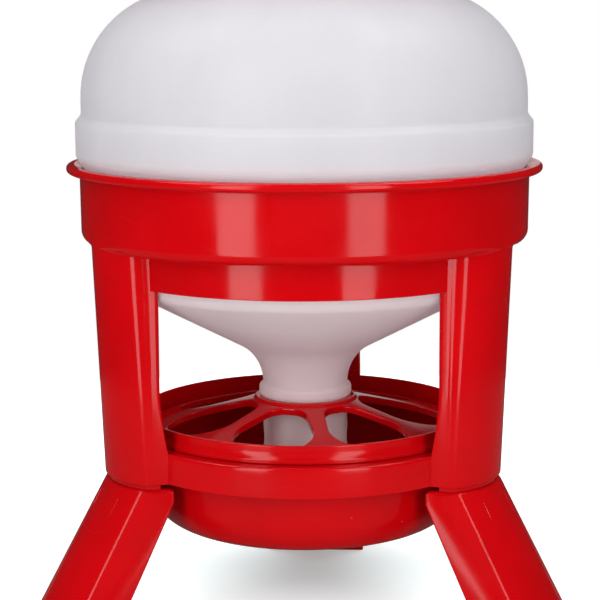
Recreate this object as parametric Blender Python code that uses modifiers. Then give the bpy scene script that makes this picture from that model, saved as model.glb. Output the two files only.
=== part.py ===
"""Poultry feeder tower: a lidded hopper that stands in a three-post tub frame and feeds a
grilled pan, on three splayed plug-in feet.

Units are metres and +Z is up. The feet stand on z = 0. The tower's own axis is vertical at
(0, AXIS_Y), which puts the origin under the middle of the whole object's footprint. The front
faces -Y, with a post at 60 degrees on either side of it and one at the back.
"""

import math

import bmesh
import bpy
from mathutils import Matrix, Vector

# Resolution: turned steps, and degrees per straight run of a fillet up to each radius
STEPS = 40
FILLET_STEPS = ((0.0045, 46.0), (0.020, 31.0), (0.050, 18.0), (1.0, 11.0))
FACE_PIECES = 10
BACK_PIECES = 6
SCREW_MERGE = 0.00001
WELD_DISTANCE = 0.000005

# Fillet radii shared by many edges
FILLET_FINE = 0.0012
FILLET_SMALL = 0.003
FILLET_SOFT = 0.004

# Fits
FIT_GAP = 0.0003
HOPPER_SIDE_GAP = 0.002
HOPPER_LOWER_GAP = 0.007
POST_TO_HOPPER_GAP = 0.001
PAN_SIDE_GAP = 0.0012
GRILLE_SIDE_GAP = 0.0007
TUBE_GAP = 0.0012
SPIGOT_GAP = 0.0004
LID_SIDE_GAP = 0.0009

# Tub ring
LIP_HEIGHT = 0.425
TUB_R = 0.1985
TUB_WALL = 0.003
TUB_DRAFT = 0.0005
LIP_OVERHANG = 0.0115
LIP_BEAD_R = 0.0033
LIP_INNER_FILLET = 0.006
LEDGE_DROP = 0.063
LEDGE_CORNER_R = 0.011
LEDGE_STEP = 0.0225
BAND_HEIGHT = 0.031

# Pan
PAN_RIM_R = 0.1495
PAN_RIM_RISE = 0.0156
PAN_WALL = 0.0028
PAN_FLANGE_OUT = 0.0025
PAN_FLANGE_THICK = 0.0034
PAN_RIM_STEP = 0.001
PAN_DEPTH = 0.1006
PAN_TAPER = 0.009
PAN_CORNER_R = 0.036
SEAT_WIDTH = 0.0015
SEAT_DROP = 0.0191
FLOW_CONE_R = 0.045
FLOW_CONE_RISE = 0.012
FLOW_CONE_FILLET = 0.030

# Lower ring, which carries the pan
WINDOW_HEIGHT = 0.141
RING_WIDTH = 0.0131
RING_HEIGHT = 0.0263
RING_SKIN = 0.003
RING_GUIDE_DEPTH = 0.014

# Grille
GRILLE_SKIN = 0.0026
GRILLE_LIP_DEPTH = 0.007
GRILLE_RIM_WIDTH = 0.016
GRILLE_RIM_HEIGHT = 0.003
GRILLE_RIM_LAND = 0.0048
HUB_LAND = 0.008
HUB_COLLAR = 0.014
HUB_WEB = 0.0126
HUB_FILLET = 0.008
SPOKES = 7
SPOKE_TURN_DEG = 11.4
SPOKE_WIDTH_IN = 0.0169
SPOKE_WIDTH_OUT = 0.0087
CHANNEL_WIDTH = 0.0076
CHANNEL_FROM_OPENING = 0.004
CHANNEL_FROM_HUB = 0.014
OPENING_CORNER_IN_R = 0.011
OPENING_CORNER_OUT_R = 0.034
OPENING_OUT_PIECES = 2
OPENING_IN_PIECES = 2

# Hopper
HOPPER_WALL = 0.003
BELT_OUT = 0.0079
BELT_BOTTOM_RISE = 0.010
BELT_TOP_RISE = 0.0468
BELT_SHOULDER = 0.0063
BELT_BOTTOM_FILLET = 0.006
DOME_OUT = 0.0027
DOME_ARC_RISE = 0.0605
DOME_SHOULDER_R = 0.0937
DOME_SLOPE_DEG = 23.6
HOPPER_CORNER_R = 0.010
LIP_CLEARANCE = 0.0007
CONE_TOP_BELOW_BAND = 0.0095
CONE_SLOPE_DEG = 27.8
TUBE_R = 0.0372
NECK_EXTRA_R = 0.0008
NECK_FILLET_R = 0.041
BEAD_EXTRA_R = 0.0044
BEAD_HEIGHT = 0.0115
BEAD_FILLET = 0.0036
BEAD_SHOULDER = 0.002
OUTLET_GAP = 0.033
MOUTH_R = 0.130
MOUTH_RISE = 0.0329
MOUTH_SEAM_RISE = 0.0045
CONE_SEAM_DROP = 0.017
TUBE_SEAM_DROP = 0.007

# Lid
LID_WALL = 0.0026
LID_SKIRT = 0.0325
LID_BOSS_R = 0.088
LID_BOSS_RISE = 0.0025
LID_BOSS_SLOPE = 0.004
LID_RIBS = 42
LID_RIB_R = 0.0016
LID_RIB_MARGIN_LOW = 0.004
LID_RIB_MARGIN_TOP = 0.007
LID_RIB_SIDES = 8

# Posts
POST_ANGLES = {"left": -60.0, "right": 60.0, "back": 180.0}
POST_HALF_W = 0.041
POST_BACK_HALF_W = 0.0445
POST_FACE_R = 0.085
POST_TOP_INSET = 0.0015
POST_OUT_FROM_RING = 0.0257
POST_WALL = 0.003
POST_FLARE = 0.045
POST_FLARE_DEPTH = 0.0243

# Feet
FOOT_GAP = 0.0042
FOOT_SPLAY_DEG = 31.2
FOOT_INNER_SPLAY_DEG = 27.0
FOOT_ARRIS_INSET = 0.003
FOOT_INNER_EXTRA = 0.0065
FOOT_FACE_R = 0.075
FOOT_IN_FROM_POST = 0.002
FOOT_INSIDE_RING = 0.0088
FOOT_HEEL_HEIGHT = 0.0115
FOOT_WALL = 0.0032
FOOT_FACE_SPREAD = 0.0063
FOOT_INNER_TOE_IN = 0.0015
SPIGOT_BELOW_RING_TOP = 0.0013
SPIGOT_ROOT = 0.004

# Worked out from the sizes above: radii
LIP_R = TUB_R + LIP_OVERHANG
BAND_R = TUB_R - LEDGE_STEP
PAN_BOWL_R = PAN_RIM_R - PAN_RIM_STEP
RING_INNER_R = PAN_BOWL_R + PAN_SIDE_GAP
RING_R = RING_INNER_R + RING_WIDTH
HOPPER_R = TUB_R - TUB_WALL - HOPPER_SIDE_GAP
HOPPER_LOWER_R = BAND_R - TUB_WALL - HOPPER_LOWER_GAP
DOME_R = HOPPER_R + DOME_OUT
POST_BACK_R = HOPPER_LOWER_R + POST_TO_HOPPER_GAP
POST_TOP_R = TUB_R - POST_TOP_INSET
POST_BOTTOM_R = RING_R + POST_OUT_FROM_RING
FOOT_TOP_R = POST_BOTTOM_R - FOOT_IN_FROM_POST
FOOT_INNER_R = RING_R - FOOT_INSIDE_RING
FOOT_HALF_W = POST_HALF_W - FOOT_ARRIS_INSET
FOOT_INNER_HALF_W = POST_BACK_HALF_W + FOOT_INNER_EXTRA
GRILLE_R = PAN_RIM_R - PAN_WALL - GRILLE_SIDE_GAP
HUB_HOLE_R = TUBE_R + TUBE_GAP
HUB_R = HUB_HOLE_R + HUB_LAND
LID_R = MOUTH_R + LID_SIDE_GAP + LID_WALL

# Worked out: heights
LEDGE_Z = LIP_HEIGHT - LEDGE_DROP
BAND_Z = LEDGE_Z - BAND_HEIGHT
RING_TOP_Z = BAND_Z - WINDOW_HEIGHT
RING_BOTTOM_Z = RING_TOP_Z - RING_HEIGHT
FOOT_TOP_Z = RING_BOTTOM_Z - FOOT_GAP
PAN_FLANGE_Z = RING_TOP_Z + FIT_GAP
PAN_TOP_Z = RING_TOP_Z + PAN_RIM_RISE
PAN_BOTTOM_Z = PAN_TOP_Z - PAN_DEPTH
PAN_FLOOR_Z = PAN_BOTTOM_Z + PAN_WALL
SEAT_Z = PAN_TOP_Z - SEAT_DROP
OUTLET_Z = PAN_FLOOR_Z + OUTLET_GAP
HOPPER_LEDGE_Z = LEDGE_Z + TUB_WALL + FIT_GAP
CONE_TOP_Z = BAND_Z - CONE_TOP_BELOW_BAND
NECK_R = TUBE_R + NECK_EXTRA_R
CONE_END_Z = CONE_TOP_Z - (HOPPER_LOWER_R - NECK_R) * math.tan(math.radians(CONE_SLOPE_DEG))
BEAD_TOP_Z = CONE_END_Z - NECK_FILLET_R * math.tan(math.radians(90.0 - CONE_SLOPE_DEG) / 2)
BEAD_BOTTOM_Z = BEAD_TOP_Z - BEAD_HEIGHT
HUB_TOP_Z = BEAD_BOTTOM_Z - FIT_GAP
DOME_SLOPE = math.radians(DOME_SLOPE_DEG)
DOME_CORNER_Z = LIP_HEIGHT + DOME_ARC_RISE + DOME_SHOULDER_R * math.tan((math.pi / 2 - DOME_SLOPE) / 2)
MOUTH_BASE_Z = DOME_CORNER_Z + (DOME_R - MOUTH_R) * math.tan(DOME_SLOPE)
MOUTH_TOP_Z = MOUTH_BASE_Z + MOUTH_RISE
MOUTH_SEAM_Z = MOUTH_BASE_Z + MOUTH_SEAM_RISE
CONE_SEAM_Z = LEDGE_Z - CONE_SEAM_DROP
TUBE_SEAM_Z = HUB_TOP_Z - TUBE_SEAM_DROP
LID_TOP_Z = MOUTH_TOP_Z + FIT_GAP + LID_WALL

# Worked out: reach of the feet and the place of the tower's axis
FOOT_SLOPE = math.tan(math.radians(FOOT_SPLAY_DEG))
FOOT_INNER_SLOPE = math.tan(math.radians(FOOT_INNER_SPLAY_DEG))
FOOT_REACH = FOOT_TOP_R + FOOT_SLOPE * FOOT_TOP_Z
FOOT_SOLE_HALF_W = FOOT_HALF_W + FOOT_FACE_SPREAD
FOOT_SOLE_BOW = FOOT_FACE_R - math.sqrt(FOOT_FACE_R ** 2 - FOOT_SOLE_HALF_W ** 2)
FRONT_ANGLE = math.radians(POST_ANGLES["right"])
FOOT_FRONT = (FOOT_REACH - FOOT_SOLE_BOW) * math.cos(FRONT_ANGLE) + FOOT_SOLE_HALF_W * math.sin(FRONT_ANGLE)
FRONT_REACH = max(LIP_R, FOOT_FRONT)
AXIS_Y = -(FOOT_REACH - FRONT_REACH) / 2

# Colours as linear red, green, blue
RED = (0.61, 0.009, 0.014)
MILKY = (0.80, 0.79, 0.80)


def clear_scene():
    for obj in list(bpy.data.objects):
        bpy.data.objects.remove(obj, do_unlink=True)


def make_collection(name):
    coll = bpy.data.collections.new(name)
    bpy.context.scene.collection.children.link(coll)
    return coll


def make_material(name, color, roughness):
    mat = bpy.data.materials.new(name)
    mat.use_nodes = True
    shader = mat.node_tree.nodes["Principled BSDF"]
    shader.inputs["Base Color"].default_value = (*color, 1.0)
    shader.inputs["Roughness"].default_value = roughness
    shader.inputs["Metallic"].default_value = 0.0
    mat.diffuse_color = (*color, 1.0)
    return mat


def rounded(corners, closed=False):
    """Corner points (x, y, fillet radius) as a polyline with each fillet drawn as an arc."""
    count = len(corners)
    points = []
    for i, (x, y, radius) in enumerate(corners):
        here = Vector((x, y))
        if radius <= 0 or (not closed and i in (0, count - 1)):
            points.append((x, y))
            continue
        before = Vector(corners[i - 1][:2]) - here
        after = Vector(corners[(i + 1) % count][:2]) - here
        opening = before.angle(after)
        turn = math.pi - opening
        if turn < 1e-3:
            points.append((x, y))
            continue
        reach = radius * math.tan(turn / 2)
        limit = 0.95 * min(before.length, after.length)
        if reach > limit:
            radius *= limit / reach
            reach = limit
        start = here + before.normalized() * reach
        end = here + after.normalized() * reach
        middle = (before.normalized() + after.normalized()).normalized()
        centre = here + middle * radius / math.sin(opening / 2)
        arm_start = (start - centre).normalized()
        arm_end = (end - centre).normalized()
        step = next(degrees for limit_r, degrees in FILLET_STEPS if radius <= limit_r)
        pieces = max(1, round(math.degrees(turn) / step))
        for k in range(pieces + 1):
            arm = arm_start.slerp(arm_end, k / pieces)
            points.append(tuple(centre + arm * radius))
    return points


def turned(name, corners, closed, coll, material, wall=0.0):
    """A solid turned about Z from (radius, height, fillet) corners; wall makes an open one a shell."""
    points = rounded(corners, closed)
    count = len(points)
    edges = [(i, i + 1) for i in range(count - 1)]
    if closed:
        edges.append((count - 1, 0))
    mesh = bpy.data.meshes.new(name)
    mesh.from_pydata([(r, 0.0, z) for r, z in points], edges, [])
    obj = bpy.data.objects.new(name, mesh)
    coll.objects.link(obj)
    screw = obj.modifiers.new("Turn", "SCREW")
    screw.axis = "Z"
    screw.angle = 2 * math.pi
    screw.steps = STEPS
    screw.render_steps = STEPS
    screw.use_merge_vertices = True
    screw.merge_threshold = SCREW_MERGE
    if wall > 0:
        shell = obj.modifiers.new("Wall", "SOLIDIFY")
        shell.thickness = wall
        shell.offset = -1.0
        shell.use_even_offset = True
    if material:
        mesh.materials.append(material)
    return obj


def lofted(name, rings, coll, material):
    """A solid through a list of rings with the same number of points, listed downwards."""
    bm = bmesh.new()
    rows = [[bm.verts.new(point) for point in ring] for ring in rings]
    count = len(rings[0])
    for upper, lower in zip(rows, rows[1:]):
        for i in range(count):
            j = (i + 1) % count
            bm.faces.new((upper[i], lower[i], lower[j], upper[j]))
    bm.faces.new(rows[0])
    bm.faces.new(list(reversed(rows[-1])))
    bmesh.ops.recalc_face_normals(bm, faces=bm.faces)
    mesh = bpy.data.meshes.new(name)
    bm.to_mesh(mesh)
    bm.free()
    obj = bpy.data.objects.new(name, mesh)
    coll.objects.link(obj)
    if material:
        mesh.materials.append(material)
    return obj


def prism(name, outline, z_low, z_high, coll):
    """A flat outline in the XY plane, extruded between two heights."""
    curve = bpy.data.curves.new(name, "CURVE")
    curve.dimensions = "2D"
    curve.fill_mode = "BOTH"
    curve.extrude = (z_high - z_low) / 2
    spline = curve.splines.new("POLY")
    spline.points.add(len(outline) - 1)
    for point, (x, y) in zip(spline.points, outline):
        point.co = (x, y, 0.0, 1.0)
    spline.use_cyclic_u = True
    obj = bpy.data.objects.new(name, curve)
    obj.location = (0.0, 0.0, (z_high + z_low) / 2)
    coll.objects.link(obj)
    return to_mesh(obj)


def to_mesh(obj):
    """Replace an object by a plain mesh of what its curve or modifiers show."""
    bpy.context.view_layer.update()
    graph = bpy.context.evaluated_depsgraph_get()
    mesh = bpy.data.meshes.new_from_object(obj.evaluated_get(graph))
    bm = bmesh.new()
    bm.from_mesh(mesh)
    bmesh.ops.remove_doubles(bm, verts=bm.verts, dist=WELD_DISTANCE)
    bm.to_mesh(mesh)
    bm.free()
    name = obj.name
    coll = obj.users_collection[0]
    matrix = obj.matrix_world.copy()
    bpy.data.objects.remove(obj, do_unlink=True)
    mesh.name = name
    new = bpy.data.objects.new(name, mesh)
    new.matrix_world = matrix
    coll.objects.link(new)
    return new


def joined(name, objects, coll):
    """One object that holds several loose bodies, for use as a single cutter."""
    bm = bmesh.new()
    for obj in objects:
        start = len(bm.verts)
        bm.from_mesh(obj.data)
        bm.verts.ensure_lookup_table()
        bmesh.ops.transform(bm, matrix=obj.matrix_world, verts=bm.verts[start:])
        bpy.data.objects.remove(obj, do_unlink=True)
    mesh = bpy.data.meshes.new(name)
    bm.to_mesh(mesh)
    bm.free()
    new = bpy.data.objects.new(name, mesh)
    coll.objects.link(new)
    return new


def combine(obj, other, operation):
    """Cut, join or trim an object with another through an exact Boolean."""
    other.hide_render = True
    other.display_type = "WIRE"
    boolean = obj.modifiers.new(operation.title(), "BOOLEAN")
    boolean.operation = operation
    boolean.solver = "EXACT"
    boolean.object = other


def finish(obj, origin, axis_empty):
    """Fix the modifiers, put the origin on the piece's own axis and hang it on the tower."""
    obj = to_mesh(obj)
    obj.data.transform(Matrix.Translation(-Vector(origin)))
    obj.data.shade_smooth()
    obj.data.set_sharp_from_angle(angle=math.radians(35))
    obj.location = origin
    obj.parent = axis_empty
    return obj


def turn_about_axis(points, degrees):
    """Points given as (outward, sideways, height) for a post, turned to its place on the tower."""
    angle = math.radians(degrees)
    outward = Vector((math.sin(angle), -math.cos(angle), 0.0))
    sideways = Vector((math.cos(angle), math.sin(angle), 0.0))
    return [outward * r + sideways * t + Vector((0.0, 0.0, z)) for r, t, z in points]


def face_arc(apex, half_width, face_r):
    """The bowed outer face of a post or a foot, from one arris to the other."""
    swing = math.asin(half_width / face_r)
    points = []
    for k in range(FACE_PIECES + 1):
        angle = swing * (1 - 2 * k / FACE_PIECES)
        points.append((apex - face_r * (1 - math.cos(angle)), face_r * math.sin(angle)))
    return points


def post_ring(z, apex, back_r, inset=0.0):
    """A post's section: bowed face, two side walls and a back that follows the tub's round."""
    face = face_arc(apex - inset, POST_HALF_W - inset, POST_FACE_R - inset)
    radius = back_r + inset
    swing = math.asin((POST_BACK_HALF_W - inset) / radius)
    back = []
    for k in range(BACK_PIECES + 1):
        angle = swing * (2 * k / BACK_PIECES - 1)
        back.append((radius * math.cos(angle), radius * math.sin(angle)))
    return [(r, t, z) for r, t in face + back]


def post_apex(z):
    """How far out a post's face stands at a height: it leans in towards the lower ring."""
    share = (LEDGE_Z - z) / (LEDGE_Z - RING_BOTTOM_Z)
    return POST_TOP_R + (POST_BOTTOM_R - POST_TOP_R) * share


def foot_ring(z, out, inward, share, inset=0.0):
    """A foot's section: bowed face, side walls that open inwards and a flat inner wall."""
    face = face_arc(out - inset, FOOT_HALF_W + FOOT_FACE_SPREAD * share - inset, FOOT_FACE_R - inset)
    inner_half = FOOT_INNER_HALF_W - FOOT_INNER_TOE_IN * share - inset
    back = [(inward + inset, -inner_half), (inward + inset, inner_half)]
    return [(r, t, z) for r, t in face + back]


def tub_outer_corners(grow=0.0):
    """The tub's outside from the wall down to the band, moved outwards by a gap."""
    wall_r = TUB_R - TUB_DRAFT + grow
    return [
        (TUB_R + grow, LIP_HEIGHT - LIP_BEAD_R, 0.0),
        (wall_r, LEDGE_Z - grow, LEDGE_CORNER_R + grow),
        (BAND_R + grow, LEDGE_Z - grow, FILLET_SMALL - grow),
        (BAND_R - TUB_DRAFT + grow, BAND_Z - grow, 0.0),
    ]


def make_tub_ring(coll, material):
    """Deep ring with a rolled lip, a ledge that the hopper sits on and a narrower band below."""
    inner_wall = TUB_R - TUB_DRAFT - TUB_WALL
    inner_band = BAND_R - TUB_WALL
    outer = tub_outer_corners()
    corners = [
        (LIP_R, LIP_HEIGHT + LIP_BEAD_R, LIP_BEAD_R),
        (LIP_R, LIP_HEIGHT - LIP_BEAD_R, LIP_BEAD_R),
        (TUB_R, LIP_HEIGHT - LIP_BEAD_R, FILLET_SMALL),
        *outer[1:],
        (inner_band - TUB_DRAFT, BAND_Z, 0.0),
        (inner_band, LEDGE_Z + TUB_WALL, 0.0),
        (inner_wall, LEDGE_Z + TUB_WALL, LEDGE_CORNER_R - TUB_WALL),
        (TUB_R - TUB_WALL, LIP_HEIGHT + LIP_BEAD_R - TUB_WALL, FILLET_SOFT),
        (LIP_R - 2 * LIP_BEAD_R, LIP_HEIGHT + LIP_BEAD_R, LIP_INNER_FILLET),
    ]
    return turned("frame_tub_ring", corners, True, coll, material)


def make_lower_ring(coll, material):
    """Ring with a top flange under the pan's rim, an outer skirt and a short inner guide."""
    guide_r = RING_INNER_R + RING_SKIN
    corners = [
        (RING_INNER_R, RING_TOP_Z, 0.0),
        (RING_R, RING_TOP_Z, FILLET_SMALL),
        (RING_R, RING_BOTTOM_Z, 0.0),
        (RING_R - RING_SKIN, RING_BOTTOM_Z, 0.0),
        (RING_R - RING_SKIN, RING_TOP_Z - RING_SKIN, 0.0),
        (guide_r, RING_TOP_Z - RING_SKIN, 0.0),
        (guide_r, RING_TOP_Z - RING_GUIDE_DEPTH, 0.0),
        (RING_INNER_R, RING_TOP_Z - RING_GUIDE_DEPTH, 0.0),
    ]
    return turned("frame_lower_ring", corners, True, coll, material)


def frame_envelope(coll):
    """The space that the tub and the lower ring take out of each post."""
    tub = tub_outer_corners(FIT_GAP)
    above = [(0.0, LIP_HEIGHT, 0.0), (TUB_R + FIT_GAP, LIP_HEIGHT, 0.0)]
    ring = [
        (RING_R + FIT_GAP, RING_TOP_Z + FIT_GAP, FILLET_SMALL),
        (RING_R + FIT_GAP, RING_BOTTOM_Z - FOOT_GAP, 0.0),
    ]
    tub_space = turned("tub_space", above + tub + [(0.0, BAND_Z - FIT_GAP, 0.0)], False, coll, None)
    low = [(0.0, RING_TOP_Z + FIT_GAP, 0.0)] + ring + [(0.0, RING_BOTTOM_Z - FOOT_GAP, 0.0)]
    ring_space = turned("ring_space", low, False, coll, None)
    return to_mesh(tub_space), to_mesh(ring_space)


def make_post(side, angle, envelopes, coll, cutters, material):
    """Hollow post between the tub and the lower ring, open below as the foot's socket."""
    flare_z = RING_TOP_Z + POST_FLARE
    back_low = post_apex(flare_z) - POST_FLARE_DEPTH
    levels = [
        (LEDGE_Z + LEDGE_CORNER_R, POST_BACK_R),
        (BAND_Z - FIT_GAP, POST_BACK_R),
        (CONE_TOP_Z, POST_BACK_R),
        (flare_z, back_low),
        (RING_TOP_Z, RING_R),
        (RING_BOTTOM_Z, RING_R),
    ]
    rings = [turn_about_axis(post_ring(z, post_apex(z), back), angle) for z, back in levels]
    post = lofted("frame_post_" + side, rings, coll, material)
    upper_back = BAND_R + FIT_GAP
    hollow = [
        (LEDGE_Z - 2 * POST_WALL, upper_back),
        (BAND_Z, upper_back),
        (BAND_Z - POST_WALL - FIT_GAP, POST_BACK_R),
        (CONE_TOP_Z, POST_BACK_R),
        (flare_z, back_low),
        (RING_TOP_Z, RING_R + FIT_GAP),
        (RING_BOTTOM_Z - FIT_GAP, RING_R + FIT_GAP),
    ]
    pocket_rings = [post_ring(z, post_apex(z), back, POST_WALL) for z, back in hollow]
    pocket = lofted("pocket_" + side, [turn_about_axis(r, angle) for r in pocket_rings], cutters, None)
    for space in envelopes:
        combine(post, space, "DIFFERENCE")
    combine(post, pocket, "DIFFERENCE")
    return post


def make_foot(side, angle, coll, cutters, material):
    """Splayed hollow foot with a spigot that plugs up into its post."""
    heel_z = FOOT_TOP_Z - FOOT_HEEL_HEIGHT

    def ring_at(z, inset):
        out = FOOT_TOP_R + FOOT_SLOPE * (FOOT_TOP_Z - z)
        inward = FOOT_INNER_R + FOOT_INNER_SLOPE * max(0.0, heel_z - z)
        return foot_ring(z, out, inward, (FOOT_TOP_Z - z) / FOOT_TOP_Z, inset)

    body = [ring_at(z, 0.0) for z in (FOOT_TOP_Z, heel_z, 0.0)]
    foot = lofted("foot_" + side, [turn_about_axis(r, angle) for r in body], coll, material)
    socket_apex = post_apex(RING_BOTTOM_Z)
    shrink = POST_WALL + SPIGOT_GAP
    spigot_levels = (RING_TOP_Z - SPIGOT_BELOW_RING_TOP, FOOT_TOP_Z - FOOT_WALL)
    spigot_rings = [post_ring(z, socket_apex, RING_R + FIT_GAP, shrink) for z in spigot_levels]
    spigot = lofted("spigot_" + side, [turn_about_axis(r, angle) for r in spigot_rings], cutters, None)
    bore_levels = (spigot_levels[0] + FIT_GAP, spigot_levels[1] - SPIGOT_ROOT)
    bore_rings = [post_ring(z, socket_apex, RING_R + FIT_GAP, shrink + FOOT_WALL) for z in bore_levels]
    bore = lofted("bore_" + side, [turn_about_axis(r, angle) for r in bore_rings], cutters, None)
    inside = [ring_at(z, FOOT_WALL) for z in (FOOT_TOP_Z - FOOT_WALL, heel_z - FOOT_WALL, -FIT_GAP)]
    cavity = lofted("cavity_" + side, [turn_about_axis(r, angle) for r in inside], cutters, None)
    combine(foot, spigot, "UNION")
    combine(foot, bore, "DIFFERENCE")
    combine(foot, cavity, "DIFFERENCE")
    return foot


def make_hopper(coll, material):
    """Blown hopper as four shells: mouth collar, dome with belt and seat ledge, cone with bead, outlet tube."""
    belt_r = HOPPER_R + BELT_OUT
    bead_r = TUBE_R + BEAD_EXTRA_R
    mouth = [
        (MOUTH_R, MOUTH_TOP_Z, 0.0),
        (MOUTH_R, MOUTH_SEAM_Z + FIT_GAP, 0.0),
    ]
    dome = [
        (MOUTH_R, MOUTH_SEAM_Z, 0.0),
        (MOUTH_R, MOUTH_BASE_Z, FILLET_SMALL),
        (DOME_R, DOME_CORNER_Z, DOME_SHOULDER_R),
        (DOME_R, LIP_HEIGHT + BELT_TOP_RISE, 0.0),
        (belt_r, LIP_HEIGHT + BELT_TOP_RISE - BELT_SHOULDER, FILLET_SOFT),
        (belt_r, LIP_HEIGHT + BELT_BOTTOM_RISE, BELT_BOTTOM_FILLET),
        (HOPPER_R, LIP_HEIGHT + LIP_BEAD_R + LIP_CLEARANCE, FILLET_SOFT),
        (HOPPER_R, HOPPER_LEDGE_Z, HOPPER_CORNER_R),
        (HOPPER_LOWER_R, HOPPER_LEDGE_Z, FILLET_SMALL),
        (HOPPER_LOWER_R, CONE_SEAM_Z + FIT_GAP, 0.0),
    ]
    cone = [
        (HOPPER_LOWER_R, CONE_SEAM_Z, 0.0),
        (HOPPER_LOWER_R, CONE_TOP_Z, HOPPER_CORNER_R),
        (NECK_R, CONE_END_Z, NECK_FILLET_R),
        (NECK_R, BEAD_TOP_Z - FIT_GAP, 0.0),
        (bead_r, BEAD_TOP_Z - BEAD_SHOULDER, BEAD_FILLET),
        (bead_r, BEAD_BOTTOM_Z, BEAD_FILLET),
        (TUBE_R, BEAD_BOTTOM_Z, 0.0),
        (TUBE_R, TUBE_SEAM_Z + FIT_GAP, 0.0),
    ]
    tube = [
        (TUBE_R, TUBE_SEAM_Z, 0.0),
        (TUBE_R, OUTLET_Z, 0.0),
    ]
    shells = (("hopper_mouth", mouth), ("hopper_dome", dome), ("hopper_cone", cone), ("hopper_tube", tube))
    return [turned(name, corners, False, coll, material, HOPPER_WALL) for name, corners in shells]


def make_lid(coll, cutters, material):
    """Ribbed lid whose skirt fits over the filler mouth."""
    skirt_z = LID_TOP_Z - LID_SKIRT
    corners = [
        (0.0, LID_TOP_Z + LID_BOSS_RISE, 0.0),
        (LID_BOSS_R, LID_TOP_Z + LID_BOSS_RISE, 0.0),
        (LID_BOSS_R + LID_BOSS_SLOPE, LID_TOP_Z, 0.0),
        (LID_R, LID_TOP_Z, LID_WALL),
        (LID_R, skirt_z, 0.0),
    ]
    lid = turned("filler_lid", corners, False, coll, material, LID_WALL)
    ribs = []
    low = skirt_z + LID_RIB_MARGIN_LOW
    high = LID_TOP_Z - LID_RIB_MARGIN_TOP
    for k in range(LID_RIBS):
        angle = 2 * math.pi * (k + 0.5) / LID_RIBS
        bm = bmesh.new()
        bmesh.ops.create_cone(
            bm,
            cap_ends=True,
            segments=LID_RIB_SIDES,
            radius1=LID_RIB_R,
            radius2=LID_RIB_R,
            depth=high - low,
            matrix=Matrix.Translation((LID_R * math.cos(angle), LID_R * math.sin(angle), (low + high) / 2)),
        )
        mesh = bpy.data.meshes.new("rib")
        bm.to_mesh(mesh)
        bm.free()
        rib = bpy.data.objects.new("rib", mesh)
        cutters.objects.link(rib)
        ribs.append(rib)
    combine(lid, joined("lid_ribs", ribs, cutters), "UNION")
    return lid


def make_pan(coll, material):
    """Round-bottomed pan that hangs in the lower ring by a flange under its rim."""
    inner_rim = PAN_RIM_R - PAN_WALL
    flange_r = PAN_RIM_R + PAN_FLANGE_OUT
    seat_r = inner_rim - SEAT_WIDTH - GRILLE_SIDE_GAP
    low_r = PAN_BOWL_R - PAN_TAPER
    corners = [
        (0.0, PAN_FLOOR_Z + FLOW_CONE_RISE, 0.0),
        (FLOW_CONE_R, PAN_FLOOR_Z, FLOW_CONE_FILLET),
        (low_r - PAN_WALL, PAN_FLOOR_Z, PAN_CORNER_R - PAN_WALL),
        (seat_r, SEAT_Z, 0.0),
        (inner_rim, SEAT_Z, 0.0),
        (inner_rim, PAN_TOP_Z, FILLET_FINE),
        (PAN_RIM_R, PAN_TOP_Z, FILLET_FINE),
        (PAN_RIM_R, PAN_FLANGE_Z + PAN_FLANGE_THICK, 0.0),
        (flange_r, PAN_FLANGE_Z + PAN_FLANGE_THICK, FILLET_FINE),
        (flange_r, PAN_FLANGE_Z, 0.0),
        (PAN_BOWL_R, PAN_FLANGE_Z, 0.0),
        (low_r, PAN_BOTTOM_Z, PAN_CORNER_R),
        (0.0, PAN_BOTTOM_Z, 0.0),
    ]
    return turned("feed_pan", corners, False, coll, material)


def opening_outline(angle, inner_r, outer_r):
    """A grille opening: a rounded wedge between two spokes that narrow outwards."""
    half_pitch = math.pi / SPOKES
    outer_side = half_pitch - math.asin(SPOKE_WIDTH_OUT / 2 / outer_r)
    inner_side = half_pitch - math.asin(SPOKE_WIDTH_IN / 2 / inner_r)
    sides = (
        (outer_r, outer_side, OPENING_CORNER_OUT_R, OPENING_OUT_PIECES),
        (inner_r, -inner_side, OPENING_CORNER_IN_R, OPENING_IN_PIECES),
    )
    corners = []
    for radius, side, fillet, pieces in sides:
        for k in range(pieces + 1):
            theta = angle + side * (1 - 2 * k / pieces)
            corner_fillet = fillet if k in (0, pieces) else 0.0
            corners.append((radius * math.cos(theta), radius * math.sin(theta), corner_fillet))
    return rounded(corners, True)


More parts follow.
